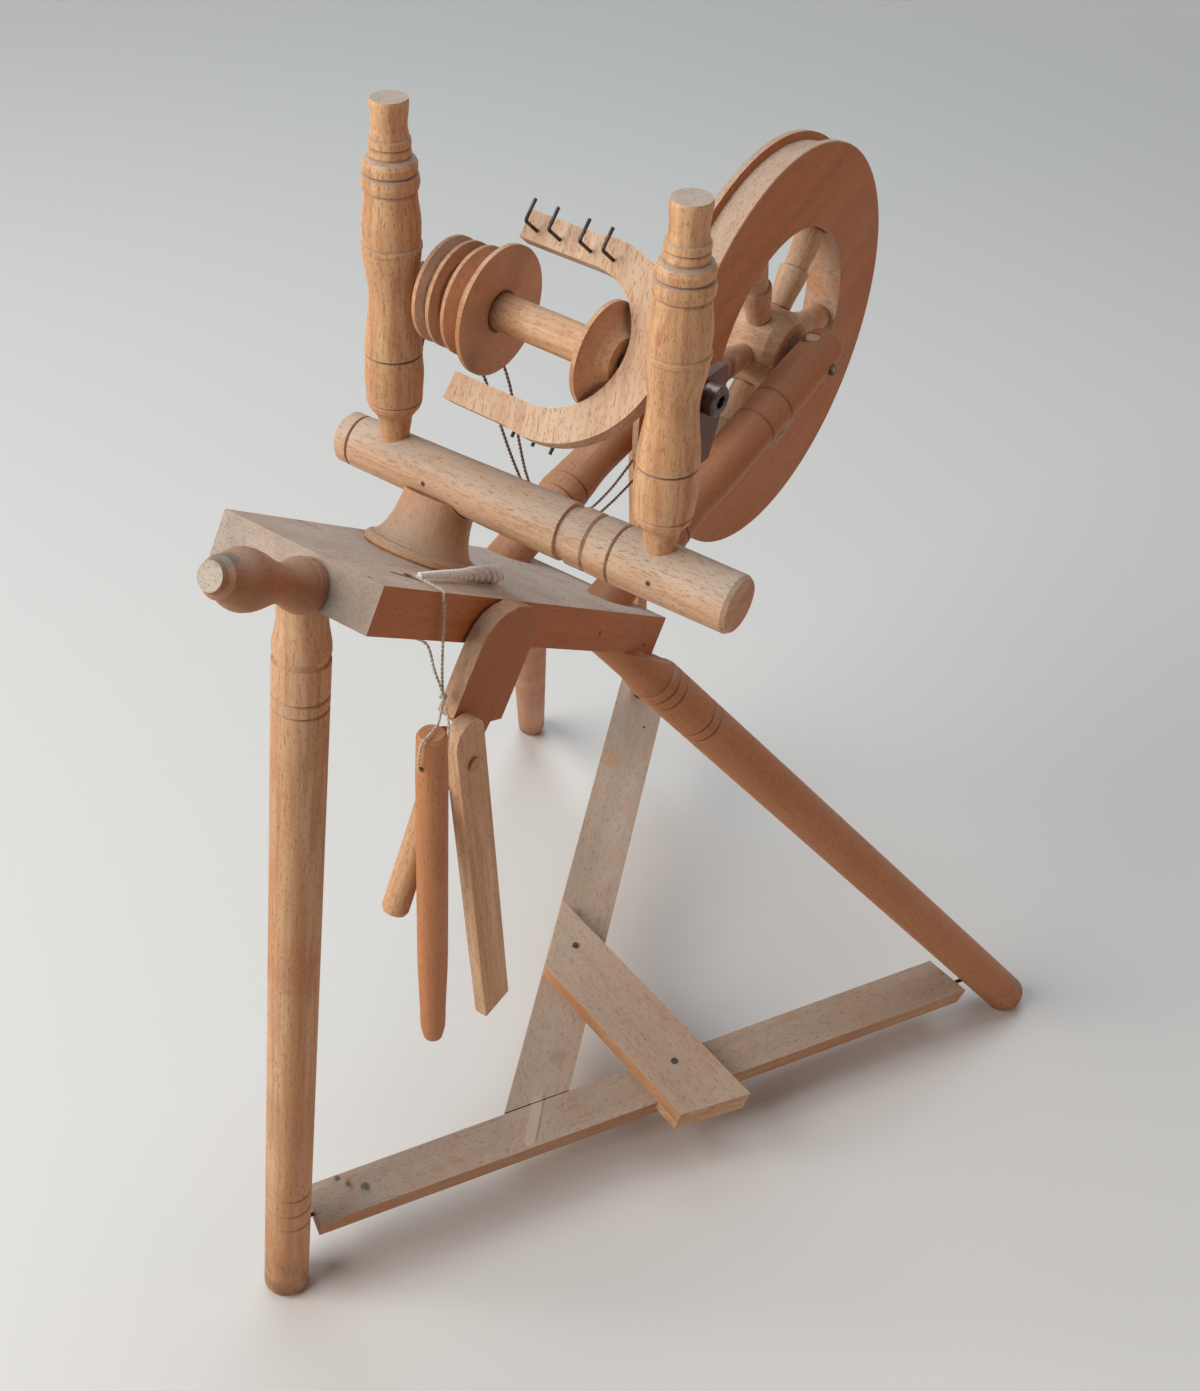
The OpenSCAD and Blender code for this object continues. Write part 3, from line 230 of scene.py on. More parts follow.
    def finish(self, color, rough, height=None, distance=0.0003, strength=0.5, sheen=0.0,
               specular=0.5):
        """Sets the shader and returns the material; height is what the bump follows."""
        self.set(self.shader.inputs["Base Color"], color)
        self.set(self.shader.inputs["Roughness"], rough)
        self.shader.inputs["Specular IOR Level"].default_value = specular
        if sheen:
            self.shader.inputs["Sheen Weight"].default_value = sheen
            self.shader.inputs["Sheen Roughness"].default_value = 0.6
        if height is not None:
            bump = self.node("Bump")
            bump.inputs["Strength"].default_value = strength
            bump.inputs["Distance"].default_value = distance
            self.set(bump.inputs["Height"], height)
            self.tree.links.new(bump.outputs[0], self.shader.inputs["Normal"])
        return self.material


# ---------------------------------------------------------------- beech

WARM = (0.54, 0.275, 0.135)
PALE = (0.66, 0.40, 0.225)
DEEP = (0.43, 0.175, 0.072)
# The grey of the painted sky light on upward faces.
SKY_GREY = (0.40, 0.30, 0.225)
FLECK = (0.26, 0.095, 0.037)
# Painted shade in grooves and inner corners, and the soil near the floor, take this colour.
SHADE_AND_SOIL = (0.13, 0.062, 0.033)
# How fine each pattern is, per metre: in the two directions across the grain, then along it.
RINGS_PER_M = (90.0, 90.0, 5.0)
FIBRES_PER_M = (520.0, 520.0, 26.0)
FLECKS_PER_M = (2300.0, 2300.0, 340.0)
PORES_PER_M = (1500.0, 1500.0, 420.0)
PATCHES_PER_M = 26.0
SKY_LIGHT_PATCHES_PER_M = 60.0
GRIME_PER_M = 110.0
LATHE_RINGS = 9000.0
# The values of its noise between which each pattern begins and is full.
RING_STEP = (0.38, 0.66)
FIBRE_STEP = (0.42, 0.68)
PATCH_STEP = (0.44, 0.68)
FLECK_STEP = (0.60, 0.70)
PORE_STEP = (0.12, 0.24)
SKY_LIGHT_STEP = (0.30, 0.62)
GRIME_STEP = (0.40, 0.62)
LIGHT_STEP = (0.35, 0.65)
# The cosines between which a surface comes to count as square to a face's axis, or as upward.
SQUARE_STEP = (0.6, 0.9)
UPWARD_STEP = (0.15, 0.95)
# How much of each colour goes on, and how far from a corner painted shade and pale edges reach.
FIBRE_SHARE = 0.5
GROOVE_SHADE_SHARE, GROOVE_SHADE_REACH = 0.62, 0.0016
EDGE_SHARE, EDGE_REACH = 0.30, 0.0007
FOOT_HEIGHTS = (0.002, 0.032)
BEECH_ROUGH = (0.50, 0.62)
FLECK_ROUGH = 0.12
FIBRE_HEIGHT, FLECK_HEIGHT = 0.5, -0.7
BUMP_DEPTH, BUMP_STRENGTH = 0.00018, 0.55


def grain_of(node):
    """The middle of a node's mesh and the line along which it is longest."""
    points = np.array([v.co for v in NODES[node].data.vertices], float).reshape(-1, 3)
    points = np.unique(points.round(5), axis=0)
    middle = (points.min(0) + points.max(0)) / 2
    values, vectors = np.linalg.eigh(np.cov((points - points.mean(0)).T))
    axis = vectors[:, 2]
    if axis[np.abs(axis).argmax()] < 0:
        axis = -axis
    return Vector(middle), Vector(axis)


def beech(name, origin, axis, warm=WARM, pale=PALE, grey=SKY_GREY, wear=0.5, spread=0.5,
          face=None, face_color=None, turned=0.0, fleck=0.5, dirty_foot=False, marks=()):
    """Beech with short dark flecks along the grain, slow streaks, painted sky light that greys
    its upward faces, and painted shade in its grooves and inner corners.

    wear is how far the painted sky light greys the upward faces, and spread how much of
    the slow dark patches shows. face is an axis: surfaces square to it take face_color.
    turned is the height of the lathe's rings, fleck the share of the flecks. dirty_foot
    darkens the wood near the floor."""
    p = Paint(name)
    grain = p.along(origin, axis)
    rings = p.noise(p.vector("MULTIPLY", grain, RINGS_PER_M), 1.0, 3.0, 0.55, 0.6)
    fine = p.noise(p.vector("MULTIPLY", grain, FIBRES_PER_M), 1.0, 2.0, 0.6)
    patches = p.noise(p.place, PATCHES_PER_M, 3.0, 0.55)
    long_fleck = p.noise(p.vector("MULTIPLY", grain, FLECKS_PER_M), 1.0, 1.0, 0.5)
    pore = p.cells(p.vector("MULTIPLY", grain, PORES_PER_M), 1.0)
    flecks = p.math("MAXIMUM", p.step(long_fleck, *FLECK_STEP), p.step(pore, *PORE_STEP, 1.0, 0.0))
    color = p.mix(p.step(rings, *RING_STEP), pale, warm)
    color = p.part_mix(p.step(fine, *FIBRE_STEP), FIBRE_SHARE, color, DEEP)
    color = p.part_mix(p.step(patches, *PATCH_STEP), spread, color, DEEP)
    if face is not None:
        square = p.math("ABSOLUTE", p.measure("DOT_PRODUCT", p.normal, face))
        streaked = p.scaled(face_color, p.step(rings, *LIGHT_STEP, 0.92, 1.08))
        color = p.mix(p.step(square, *SQUARE_STEP), color, streaked)
    # Painted sky light: upward faces go patchily towards a pale grey, standing in for the light
    # from above.
    uneven = p.step(p.noise(p.place, SKY_LIGHT_PATCHES_PER_M, 4.0, 0.6), *SKY_LIGHT_STEP, 0.68, 1.0)
    sky_lit = p.math("MULTIPLY", p.step(p.height_of(p.normal), *UPWARD_STEP), uneven)
    color = p.part_mix(sky_lit, wear, color, p.scaled(grey, p.step(rings, *LIGHT_STEP, 0.90, 1.07)))
    color = p.part_mix(flecks, fleck, color, FLECK)
    # Painted shade: grooves and inner corners are darkened by how closely they are hemmed in.
    color = p.part_mix(p.hollow(GROOVE_SHADE_REACH), GROOVE_SHADE_SHARE, color, SHADE_AND_SOIL)
    color = p.part_mix(p.hollow(EDGE_REACH, inside=True), EDGE_SHARE, color, pale)
    if dirty_foot:
        low = p.step(p.height_of(p.place), *FOOT_HEIGHTS, 1.0, 0.0)
        smeared = p.step(p.noise(p.place, GRIME_PER_M, 3.0, 0.6), *GRIME_STEP, 0.15, 0.75)
        color = p.part_mix(low, smeared, color, SHADE_AND_SOIL)
    color = p.marked(color, marks)
    rough = p.step(patches, 0.35, 0.7, *BEECH_ROUGH)
    rough = p.math("ADD", rough, p.math("MULTIPLY", flecks, FLECK_ROUGH))
    height = p.math("ADD", p.math("MULTIPLY", fine, FIBRE_HEIGHT),
                    p.math("MULTIPLY", flecks, FLECK_HEIGHT))
    if turned:
        turns = p.math("SINE", p.math("MULTIPLY", p.height_of(grain), LATHE_RINGS))
        height = p.math("ADD", height, p.math("MULTIPLY", turns, turned))
    return p.finish(color, rough, height, BUMP_DEPTH, BUMP_STRENGTH, specular=0.35)


def dress(node, material):
    """Gives a CAD node this material in every slot."""
    mesh = NODES[node].data
    mesh.materials.clear()
    mesh.materials.append(material)


def dress_beech(node, axis=None, **how):
    """Dresses a node in beech whose grain runs along axis, or along its length."""
    origin, along = grain_of(node)
    dress(node, beech(node + "_wood", origin, axis or along, **how))


BLACK = (0.03, 0.02, 0.015)


def dot(point, reach, share=0.9, soft=0.35, color=BLACK):
    """A small round mark at a point of the source, its sizes in mm."""
    return ("dot", at(point), reach * MM, soft * MM, color, share)


def line(first, last, reach, share=0.9, soft=0.35, color=BLACK):
    """A narrow mark between two points of the source, its sizes in mm."""
    return ("line", (at(first), at(last)), reach * MM, soft * MM, color, share)


def stain(point, reach, color, share=0.6, soft=2.0):
    """A ragged stain at a point of the source, its sizes in mm."""
    return ("stain", at(point), reach * MM, soft * MM, color, share)


INK = (0.05, 0.05, 0.045)
# Dark brown, for the painted shadow band on the table and a thin line on the treadle board.
DARK_BROWN = (0.17, 0.09, 0.05)
TABLE_MARKS = (
    line((50.3, 22.8, 316.1), (53.0, 17.7, 314.3), 0.25),
    line((53.0, 17.7, 314.3), (54.8, 11.8, 313.1), 0.25),
    line((44.5, -23.4, 319.9), (49.2, -27.0, 316.8), 0.9),
    dot((27.2, -30.3, 331.3), 0.5),
    # Painted shadow: a soft dark band across the table top near its end.
    line((169.0, 16.0, 237.8), (165.5, -9.0, 240.1), 1.0, 0.65, 3.5, DARK_BROWN),
    dot((127.4, -38.2, 256.3), 0.6),
    dot((155.4, -38.7, 234.4), 0.5))
KNOB_MARKS = (stain((-5.9, -13.7, 348.9), 2.0, (0.12, 0.12, 0.13)),)
BEAM_MARKS = (dot((84.4, -1.3, 318.6), 0.6), dot((83.9, -78.3, 318.9), 0.6))
MAIDEN_MARKS = (
    line((82.3, -76.2, 393.5), (82.5, -75.5, 388.5), 0.3, 0.5, 0.7, (0.50, 0.11, 0.05)),)
POST_MARKS = (dot((288.8, -18.4, 287.1), 2.9, 0.8, 0.5),)
BAR_MARKS = (
    stain((29.5, -1.0, 36.0), 0.7, INK, 0.8, 1.4),
    stain((31.1, -6.8, 35.0), 0.9, INK, 0.85, 1.4),
    stain((33.3, -11.6, 34.2), 0.8, INK, 0.8, 1.6))
BOARD_MARKS = (
    line((106.0, -39.9, 34.5), (90.5, -47.6, 31.5), 1.3, 0.55, 1.4, (0.60, 0.50, 0.40)),
    line((110.0, -41.0, 34.5), (92.2, -49.5, 31.4), 0.15, 0.5, 0.3, DARK_BROWN),
    stain((127.1, -34.7, 37.1), 1.0, (0.24, 0.19, 0.15), 0.4, 4.0),
    stain((266.6, 34.8, 62.0), 1.5, (0.48, 0.25, 0.11), 0.5, 5.0),
    dot((292.5, 34.2, 64.0), 0.5))
AXLE_MARKS = (dot((289.2, -31.5, 277.3), 1.0, 0.8, 0.5, (0.42, 0.30, 0.20)),)
ACROSS = (0.0, 1.0, 0.0)
UPWARD = (0.0, 0.0, 1.0)
TABLE_END = (-0.835, 0.0, 0.55)
dress_beech("table", wear=0.9, warm=(0.42, 0.118, 0.027), pale=(0.49, 0.16, 0.045),
            grey=(0.60, 0.545, 0.475), face=TABLE_END, face_color=(0.31, 0.185, 0.12),
            marks=TABLE_MARKS)
dress_beech("leg_left", wear=0.2, warm=(0.53, 0.25, 0.11), dirty_foot=True)
dress_beech("leg_right", wear=0.35, warm=(0.45, 0.165, 0.057), pale=(0.50, 0.205, 0.083),
            dirty_foot=True)
dress_beech("leg_back", wear=0.3, warm=(0.46, 0.185, 0.078), pale=(0.50, 0.225, 0.10),
            dirty_foot=True)
dress_beech("tension_knob", wear=0.5, warm=(0.36, 0.145, 0.066), pale=(0.40, 0.20, 0.107),
            grey=(0.34, 0.26, 0.20), face=TABLE_END, face_color=(0.50, 0.42, 0.33),
            marks=KNOB_MARKS)
dress_beech("collar", axis=(0.4, 0.0, 0.9), wear=0.7, turned=0.3, fleck=0.4)
dress_beech("carrier_beam", axis=ACROSS, wear=0.8, pale=(0.64, 0.43, 0.28),
            grey=(0.49, 0.40, 0.325), spread=0.25, marks=BEAM_MARKS)
MAIDEN = dict(wear=0.3, pale=(0.72, 0.43, 0.23), warm=(0.62, 0.33, 0.165), spread=0.2,
              face=UPWARD, face_color=(0.49, 0.38, 0.31))
dress_beech("maiden_far", **MAIDEN)
dress_beech("maiden_near", marks=MAIDEN_MARKS, **MAIDEN)
dress_beech("flyer", wear=0.35, pale=(0.66, 0.435, 0.275), warm=(0.56, 0.335, 0.19),
            spread=0.25, grey=(0.57, 0.42, 0.31))
dress_beech("flyer_whorl", axis=ACROSS, wear=0.2, face=ACROSS, face_color=(0.64, 0.41, 0.29))
dress_beech("bobbin", axis=ACROSS, wear=0.2, face=ACROSS, face_color=(0.60, 0.31, 0.175))
dress_beech("wheel_ring", axis=(0.93, 0.0, 0.36), wear=0.5, face=ACROSS,
            face_color=(0.46, 0.172, 0.058), pale=(0.54, 0.37, 0.26),
            grey=(0.50, 0.41, 0.33), spread=0.25)
dress_beech("wheel_spokes", axis=(0.5, 0.0, 0.86), wear=0.3, pale=(0.62, 0.42, 0.27), spread=0.2)
dress_beech("wheel_hub", axis=ACROSS, wear=0.3, pale=(0.70, 0.46, 0.28), spread=0.2)
dress_beech("post_near", wear=0.4, marks=POST_MARKS, warm=(0.38, 0.13, 0.05),
            pale=(0.43, 0.17, 0.07), grey=(0.31, 0.15, 0.09))
dress_beech("post_far", wear=0.4, warm=(0.43, 0.18, 0.08), pale=(0.50, 0.25, 0.13),
            grey=(0.20, 0.095, 0.055))
dress_beech("post_plugs", axis=ACROSS, pale=(0.80, 0.58, 0.38), warm=(0.72, 0.48, 0.29),
            spread=0.1)
dress_beech("footman", wear=0.3)
TREADLE = dict(wear=0.9, grey=(0.44, 0.355, 0.285), pale=(0.50, 0.31, 0.18),
               warm=(0.46, 0.25, 0.13))
dress_beech("treadle_bar", marks=BAR_MARKS, **TREADLE)
dress_beech("treadle_board", marks=BOARD_MARKS, **TREADLE)
dress_beech("treadle_brace", wear=0.85, grey=(0.50, 0.39, 0.305), pale=(0.66, 0.46, 0.30))
dress_beech("brace_batten", axis=(0.9, -0.4, 0.0), wear=0.6, pale=(0.72, 0.48, 0.30))
dress_beech("distaff_arm", wear=0.5, warm=(0.58, 0.32, 0.16), pale=(0.66, 0.40, 0.22),
            spread=0.3, face=ACROSS, face_color=(0.40, 0.135, 0.042))
dress_beech("arm_pivot", axis=ACROSS, warm=(0.42, 0.15, 0.055), pale=(0.46, 0.18, 0.07))
dress_beech("distaff_bar", wear=0.3, pale=(0.72, 0.48, 0.30), warm=(0.62, 0.36, 0.19),
            spread=0.3)
dress_beech("bar_pin", axis=ACROSS, pale=(0.62, 0.40, 0.24), warm=(0.54, 0.31, 0.16))
dress_beech("stub_rod", wear=0.2, pale=(0.64, 0.36, 0.19), warm=(0.55, 0.29, 0.14), spread=0.2)
dress_beech("loose_rod", wear=0.2, pale=(0.54, 0.23, 0.09), warm=(0.47, 0.17, 0.06), spread=0.4)

# ---------------------------------------------------------------- leather and metal


LEATHER_DARK = (0.085, 0.032, 0.019)
LEATHER_LIGHT = (0.200, 0.080, 0.045)
STEEL_CLEAN = (0.13, 0.10, 0.085)
STEEL_DULL = (0.065, 0.042, 0.033)
WIRE_CLEAN = (0.085, 0.075, 0.070)
WIRE_DULL = (0.045, 0.036, 0.030)
LEATHER_CELLS_PER_M = 1400.0
LEATHER_PATCHES_PER_M = 180.0
STEEL_PATCHES_PER_M = 420.0


def leather():
    """Dark grained leather, rubbed lighter in patches."""
    p = Paint("bearing_leather")
    grain = p.cells(p.place, LEATHER_CELLS_PER_M)
    tone = p.noise(p.place, LEATHER_PATCHES_PER_M, 3.0)
    color = p.mix(p.step(tone, *LIGHT_STEP), LEATHER_DARK, LEATHER_LIGHT)
    return p.finish(color, p.step(tone, 0.3, 0.7, 0.50, 0.75), grain, 0.0002, 0.5)


def steel(node, clean, dull, metal=1.0, marks=()):
    """Dresses a node in old steel that goes from clean to dull in patches."""
    p = Paint(node + "_steel")
    tone = p.noise(p.place, STEEL_PATCHES_PER_M, 4.0, 0.6)
    color = p.marked(p.mix(p.step(tone, *LIGHT_STEP), clean, dull), marks)
    p.shader.inputs["Metallic"].default_value = metal
    dress(node, p.finish(color, p.step(tone, 0.3, 0.7, 0.30, 0.52), tone, 0.00005, 0.4))


LEATHER = leather()
dress("bearing_far", LEATHER)
dress("bearing_near", LEATHER)
for name in ("flyer_spindle", "axle_crank", "treadle_pins"):
    steel(name, STEEL_CLEAN, STEEL_DULL, marks=AXLE_MARKS)
for name in ("flyer_hooks", "treadle_nails"):
    steel(name, WIRE_CLEAN, WIRE_DULL, 0.8)

# ---------------------------------------------------------------- cords


def fiber(name, light, dark, scale=900.0, bump=0.6):
    """Soft yarn with short lighter and darker hairs."""
    p = Paint(name)
    hair = p.noise(p.place, scale, 3.0, 0.6)
    color = p.mix(p.step(hair, 0.35, 0.68), dark, light)
    return p.finish(color, 0.85, hair, 0.0001, bump, sheen=0.25, specular=0.2)


BROWN_CORD = fiber("brown_cord_fiber", (0.36, 0.23, 0.145), (0.20, 0.12, 0.07))
PALE_STRING = fiber("pale_string_fiber", (0.66, 0.58, 0.47), (0.46, 0.38, 0.29))
COTTON = fiber("cotton_fiber", (0.99, 0.99, 0.99), (0.94, 0.945, 0.95), 600.0, 0.15)


def smooth(points, n=4):
    """The source's curve through points in mm, with n steps between each two."""
    points = [at(point) for point in points]
    made = []
    last = len(points) - 1
    for i in range(last):
        a, b, c, d = points[max(i - 1, 0)], points[i], points[i + 1], points[min(i + 2, last)]
        for k in range(n):
            t = k / n
            made.append(0.5 * (2 * b + (c - a) * t + (2 * a - 5 * b + 4 * c - d) * t * t
                               + (3 * b - a - 3 * c + d) * t * t * t))
    return made + [points[-1].copy()]


def even(points, step):
    """The line cut again into pieces of about this length, and its whole length."""
    lengths = [(b - a).length for a, b in zip(points, points[1:])]
    total = sum(lengths)
    count = max(2, round(total / step))
    made = []
    i, done = 0, 0.0
    for k in range(count + 1):
        goal = total * k / count
        while i < len(lengths) - 1 and done + lengths[i] < goal:
            done += lengths[i]
            i += 1
        made.append(points[i].lerp(points[i + 1], min(1.0, (goal - done) / lengths[i])))
    return made, total


def sides_of(points):
    """Two directions across the line at each point, carried along it without twist."""
    n = len(points)
    dirs = [(points[min(i + 1, n - 1)] - points[max(i - 1, 0)]).normalized() for i in range(n)]
    side = dirs[0].orthogonal().normalized()
    pairs = []
    for i in range(n):
        side = (side - dirs[i] * side.dot(dirs[i])).normalized()
        pairs.append((side.copy(), dirs[i].cross(side)))
    return pairs


def add_tube(mesh, points, radius, sides=6):
    """Adds a closed tube along the points; radius is a number or a list, one for each."""
    rings = []
    for i, (point, (a, b)) in enumerate(zip(points, sides_of(points))):
        r = radius[i] if isinstance(radius, list) else radius
        rings.append([mesh.verts.new(point + (a * math.cos(t) + b * math.sin(t)) * r)
                      for t in (2 * math.pi * k / sides for k in range(sides))])
    for one, two in zip(rings, rings[1:]):
        for k in range(sides):
            mesh.faces.new((one[k], one[(k + 1) % sides], two[(k + 1) % sides], two[k]))
    mesh.faces.new(rings[0][::-1])
    mesh.faces.new(rings[-1])


def as_object(name, mesh, material):
    """The finished bmesh as a smooth piece that stays with the stand."""
    data = bpy.data.meshes.new(name)
    bmesh.ops.recalc_face_normals(mesh, faces=mesh.faces)
    mesh.to_mesh(data)
    mesh.free()
    for polygon in data.polygons:
        polygon.use_smooth = True
    data.materials.append(material)
    made = bpy.data.objects.new(name, data)
    bpy.context.scene.collection.objects.link(made)
    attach(made, "stand")
    return made


PLIES = 2
PLY_SHARE = 0.27
TURN_LENGTH = 3.2
STEPS_PER_TURN = 9


def twisted(name, route, diameter, material):
    """A cord of two plies wound round the route. Returns the piece, its path and its length.

    A ply's radius and the length of one turn are shares of the diameter."""
    points, length = even(route, diameter * TURN_LENGTH / STEPS_PER_TURN)
    pairs = sides_of(points)
    ply = diameter * PLY_SHARE
    mesh = bmesh.new()
    for k in range(PLIES):
        path = []
        for i, (point, (a, b)) in enumerate(zip(points, pairs)):
            t = 2 * math.pi * (i / STEPS_PER_TURN + k / PLIES)
            path.append(point + (a * math.cos(t) + b * math.sin(t)) * (diameter / 2 - ply))
        add_tube(mesh, path, ply)
    return as_object(name, mesh, material), points, length


UPPER_STRAND = smooth((
    (114.9, 1.7, 369.8), (115.3, 1.8, 362.8), (115.4, 1.8, 355), (122, 2, 346), (130, 2, 329),
    (136, 2.4, 308), (143, 3, 289), (153, 3.6, 274), (168, 4.6, 261), (184, 5.8, 254.6),
    (200, 7.4, 254), (214, 8.8, 256.6), (230, 9.6, 262.6), (246, 9.6, 270), (262, 9.6, 281),
    (276, 9.6, 289.6), (284, 9.6, 292.2), (289.2, 9.6, 292.6)))
LOWER_STRAND = smooth((
    (102.8, 2.2, 357.7), (107.2, 2.1, 356.2), (111.4, 2, 349), (118, 2, 335.5), (126, 2, 317),
    (132, 1.2, 302), (140, 1, 286.5), (151, 1.6, 271.6), (166, 2.8, 258.4), (182, 4.2, 251.6),
    (198, 5.6, 250), (214, 7.6, 249.6), (230, 9.2, 250.4), (246, 9.6, 252), (262, 9.6, 255),
    (276, 9.6, 259.4), (284, 9.6, 261.1), (289.2, 9.6, 261.1)))
FRONT_STRING = smooth((
    (49.7, -26.4, 317.5), (48.9, -30, 318.0), (48.4, -34.4, 318.3), (48.2, -37.5, 318.1),
    (47.4, -38.2, 316.6), (47.4, -38.4, 312), (46.6, -38.6, 303), (45.8, -39, 294),
    (45, -40, 285.5), (40.6, -45.4, 281.6), (35.4, -49, 279.2), (33.2, -49.6, 279)))
BACK_STRING = smooth((
    (43.8, -27, 303.0), (43.8, -31, 302.1), (43.2, -36, 302.4), (43.8, -38, 294),
    (44.3, -40.6, 286.5), (38, -45, 288.4), (31, -49.4, 290), (26, -50.6, 290.3),
    (22.7, -50.4, 289.2), (22.1, -50, 285.4), (22.2, -49.6, 281), (22.7, -49.6, 279)))
STRING_KNOT = at((45, -40, 285.5))
BAND_D = 0.0011
STRING_D = 0.0009


def arc(centre, axis_x, axis_z, radius, first, last, count):
    """Points on an arc about centre, angles in degrees from axis_x towards axis_z."""
    made = []
    for i in range(count + 1):
        t = math.radians(first + (last - first) * i / count)
        made.append(centre + (axis_x * math.cos(t) + axis_z * math.sin(t)) * radius)
    return made


# The spindle is turned a little aside and its near end dips; the whorl's groove lies at GROOVE_Y.
YAW = math.radians(1.4)
DIP = math.radians(1.3)
GROOVE_Y = 1.95
WHORL_MIDDLE = at((102.79 + GROOVE_Y * math.sin(YAW), GROOVE_Y,
                   369.731 + GROOVE_Y * math.sin(DIP)))
WHORL_X = Vector((math.cos(YAW), -math.sin(YAW), 0))
WHORL_Z = Vector((-math.sin(DIP) * math.sin(YAW), -math.sin(DIP) * math.cos(YAW), math.cos(DIP)))
WHORL_TURN_R = 0.01205
HUB_MIDDLE = at((WHEEL_X, 9.6, AXLE_Z))
HUB_X = Vector((1, 0, 0))
HUB_Z = Vector((0, 0, 1))
HUB_TURN_R = 0.01575


def band_turn(name, route):
    """The band where it lies round the whorl or the hub."""
    piece, _, _ = twisted(name, route, BAND_D, BROWN_CORD)
    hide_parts("band_turns")
    return piece


def strand(name, route, diameter, material, node, slot, **how):
    """A twisted cord in the place of a CAD node, which it hides."""
    piece, path, length = twisted(name, route, diameter, material)
    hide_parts(node)


def band():
    """The slack drive band: a turn round the whorl, one round the hub, and two strands."""
    whorl = band_turn("band_on_whorl",
                      arc(WHORL_MIDDLE, WHORL_X, WHORL_Z, WHORL_TURN_R, 0, 270, 90))
    hub = band_turn("band_on_hub", arc(HUB_MIDDLE, HUB_X, HUB_Z, HUB_TURN_R, 90, -90, 60))
    for name, route, turn in (("band_upper", UPPER_STRAND, whorl),
                              ("band_lower", LOWER_STRAND, hub)):
        strand(name, route, BAND_D, BROWN_CORD, "drive_band", "brown_cord", with_pieces=(turn,))


KNOT_SIZE = 0.00028
KNOT_STEPS = 60


def knot(name, centre, material):
    """A small overhand knot: one closed tangle of cord."""
    path = []
    for i in range(KNOT_STEPS + 1):
        t = 2 * math.pi * i / KNOT_STEPS
        path.append(centre + Vector((math.sin(t) + 2 * math.sin(2 * t),
                                     math.cos(t) - 2 * math.cos(2 * t),
                                     -math.sin(3 * t) * 1.6)) * KNOT_SIZE)
    mesh = bmesh.new()
    add_tube(mesh, path, STRING_D / 2)
    return as_object(name, mesh, material)


def string():
    """The white string's two strands and its knot, from the table to the loose rod."""
    tied = knot("string_knot", STRING_KNOT, PALE_STRING)
    for name, route, others in (("string_front", FRONT_STRING, (tied,)),
                                ("string_back", BACK_STRING, ())):
        strand(name, route, STRING_D, PALE_STRING, "hanging_string", "pale_string",
               lay="hanging", with_pieces=others)


COTTON_PLIES = 3
COTTON_STEP = 0.0008
FIBRES = 90
FIBRE_R = 0.00016
FIBRE_DEPTH = 0.0001


def opened(share):
    """How far the cotton's plies stand from its middle: tight, then a slow swelling."""
    return 0.0005 + 0.0013 * share ** 1.5


def ply_radius(share):
    """A ply's radius: the yarn swells as it opens."""
    return 0.0005 + 0.0007 * share


def steps_in_turn(share):
    """How many steps one turn of the cotton takes: the twist loosens towards its open end."""
    return 6.5 + 5.0 * share


def cotton():
    """The white cotton end: three plies, tight at the hole, loose and open at the far end."""
    random.seed(7)
    route = smooth(((49.6, -28.1, 318.2), (58.6, -27.2, 313.0), (70.2, -25.4, 305.6),
                    (82.0, -23.4, 298.3), (93.7, -21.2, 290.6)), 6)
    points, length = even(route, COTTON_STEP)
    pairs = sides_of(points)
    last_point = len(points) - 1
    mesh = bmesh.new()
    for k in range(COTTON_PLIES):
        path, radii = [], []
        for i, (point, (a, b)) in enumerate(zip(points, pairs)):
            share = i / last_point
            t = 2 * math.pi * (i / steps_in_turn(share) + k / COTTON_PLIES)
            path.append(point + (a * math.cos(t) + b * math.sin(t) * 0.8) * opened(share))
            radii.append(ply_radius(share))
        add_tube(mesh, path, radii, 8)
    for _ in range(FIBRES):
        start = random.uniform(0.55, 0.93)
        first = int(start * last_point)
        phase = random.uniform(0, 2 * math.pi)
        flare = random.uniform(0.6, 1.1)
        last = min(last_point, first + random.randint(6, 16))
        path = []
        for i in range(first, last + 1):
            share = i / last_point
            a, b = pairs[i]
            t = phase + 2 * math.pi * i / steps_in_turn(share)
            away = (opened(share) + ply_radius(share) - FIBRE_DEPTH) * flare
            path.append(points[i] + (a * math.cos(t) + b * max(math.sin(t), -0.5)) * away)
        if len(path) > 2:
            add_tube(mesh, path, FIBRE_R, 4)
    made = as_object("cotton_end", mesh, COTTON)
    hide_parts("string_tuft")


band()
string()
cotton()

# ---------------------------------------------------------------- floor and light

BACKDROP = (0.80, 0.79, 0.775, 1.0)
BACKDROP_LEVEL = 0.75
FLOOR_COLOR = (0.76, 0.735, 0.705, 1.0)
FLOOR_SIZE = 8.0
FADE_FROM, FADE_TO = 0.9, 2.8


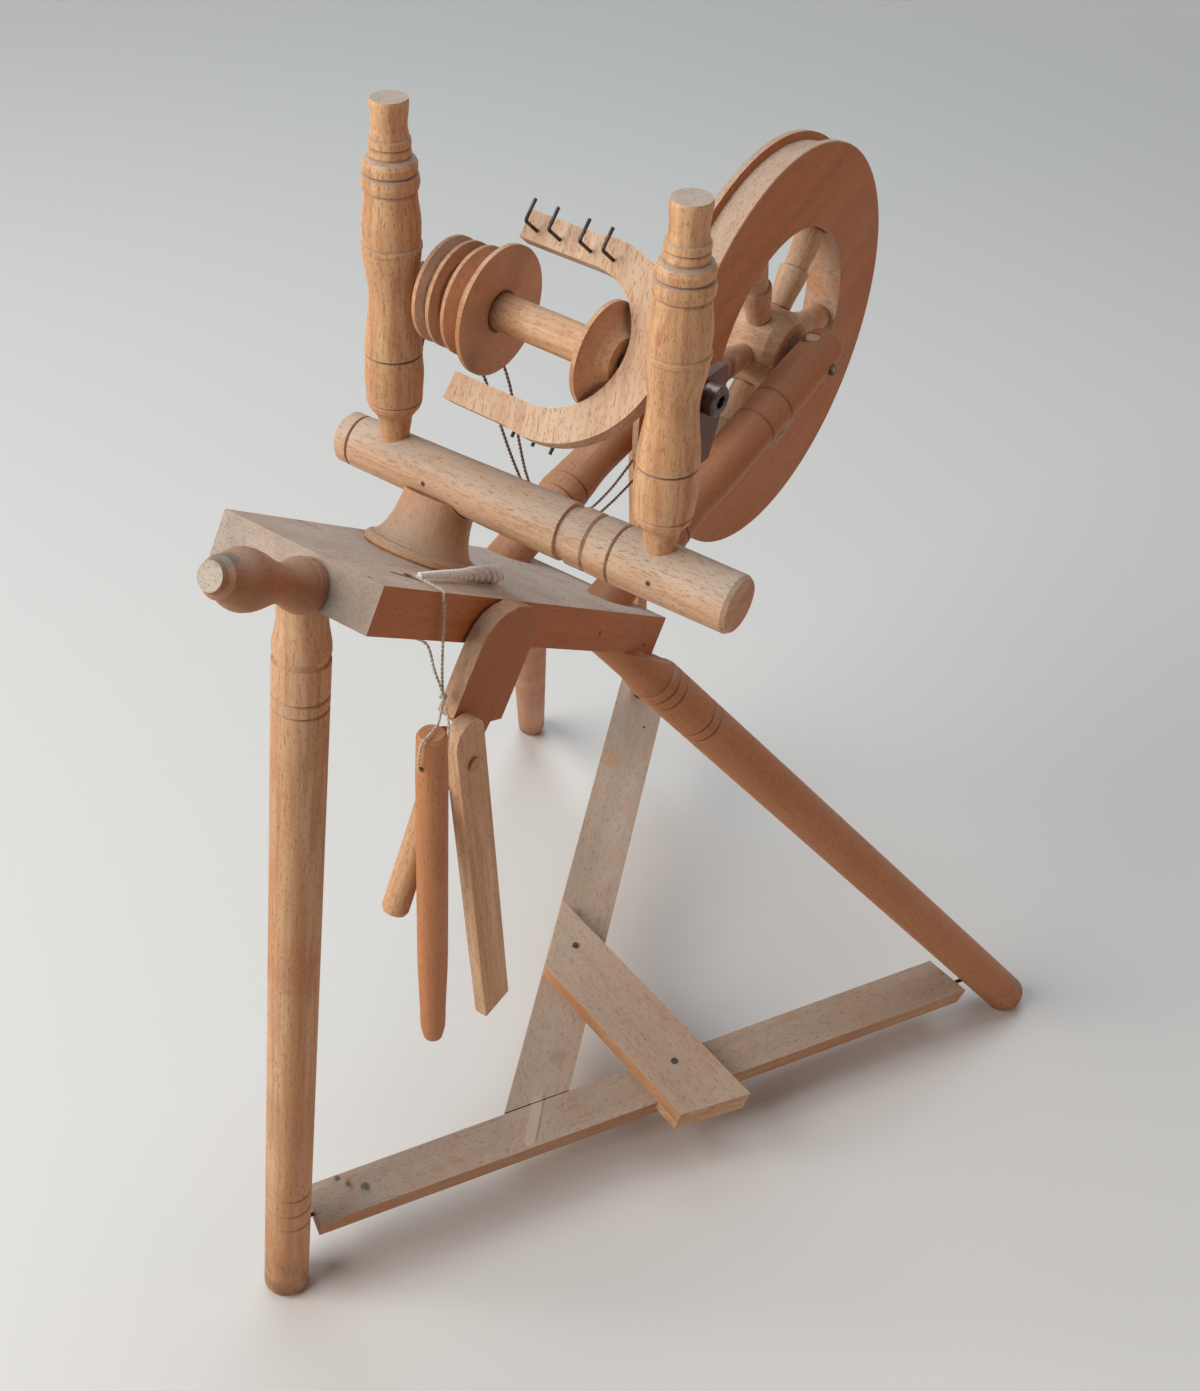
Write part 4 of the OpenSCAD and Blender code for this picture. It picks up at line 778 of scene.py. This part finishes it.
def make_floor():
    """A plain pale floor; far from the object the camera sees it as pale as the backdrop."""
    bpy.ops.mesh.primitive_plane_add(size=FLOOR_SIZE, location=(0, 0, 0))
    floor = bpy.context.object
    floor.name = "floor"
    p = Paint("floor_pale")
    floor.data.materials.append(p.finish(FLOOR_COLOR, 0.9, specular=0.1))
    glow = p.node("Emission", (BACKDROP, BACKDROP_LEVEL))
    away = p.step(p.measure("LENGTH", p.place), FADE_FROM, FADE_TO)
    seen = p.math("MULTIPLY", away, p.node("LightPath").outputs["Is Camera Ray"])
    mixed = p.node("MixShader", (seen, p.shader.outputs["BSDF"], glow.outputs[0]))
    p.set(p.out.inputs["Surface"], mixed.outputs[0])


AMBIENT = (0.84, 0.93, 1.0, 1.0)
AMBIENT_LEVEL = 0.085
LIGHT_AIM = Vector((0, 0, 0.2))
# name, place, size in metres, watts, colour, spread in degrees
LIGHTS = (("key", (-1.3, 0.8, 1.2), 1.4, 34.0, (1.0, 0.985, 0.95), 180.0),
          ("sky", (0.5, 0.5, 2.2), 1.6, 24.0, (0.78, 0.91, 1.0), 180.0),
          ("warm_side", (0.6, -1.5, 0.55), 1.2, 2.9, (1.0, 0.44, 0.20), 140.0))


def make_world():
    """A faint cool world that the camera and glossy surfaces see as a pale backdrop."""
    world = bpy.data.worlds.new("studio")
    bpy.context.scene.world = world
    world.use_nodes = True
    nodes, links = world.node_tree.nodes, world.node_tree.links
    ambient = nodes["Background"]
    ambient.inputs["Color"].default_value = AMBIENT
    ambient.inputs["Strength"].default_value = AMBIENT_LEVEL
    seen = nodes.new("ShaderNodeBackground")
    seen.inputs["Color"].default_value = BACKDROP
    seen.inputs["Strength"].default_value = BACKDROP_LEVEL
    ray = nodes.new("ShaderNodeLightPath")
    either = nodes.new("ShaderNodeMath")
    either.operation = "MAXIMUM"
    links.new(ray.outputs["Is Camera Ray"], either.inputs[0])
    links.new(ray.outputs["Is Glossy Ray"], either.inputs[1])
    mixed = nodes.new("ShaderNodeMixShader")
    for i, socket in enumerate((either.outputs[0], ambient.outputs[0], seen.outputs[0])):
        links.new(socket, mixed.inputs[i])
    links.new(mixed.outputs[0], nodes["World Output"].inputs["Surface"])


def make_lights():
    """The area lights, all turned towards the object."""
    for name, place, size, power, color, spread in LIGHTS:
        data = bpy.data.lights.new(name, "AREA")
        data.size = size
        data.energy = power
        data.color = color
        data.spread = math.radians(spread)
        light = bpy.data.objects.new(name, data)
        light.location = place
        light.rotation_euler = (LIGHT_AIM - Vector(place)).to_track_quat("-Z", "Y").to_euler()
        bpy.context.scene.collection.objects.link(light)


make_floor()
make_world()
make_lights()
bpy.context.scene.view_settings.view_transform = "Standard"
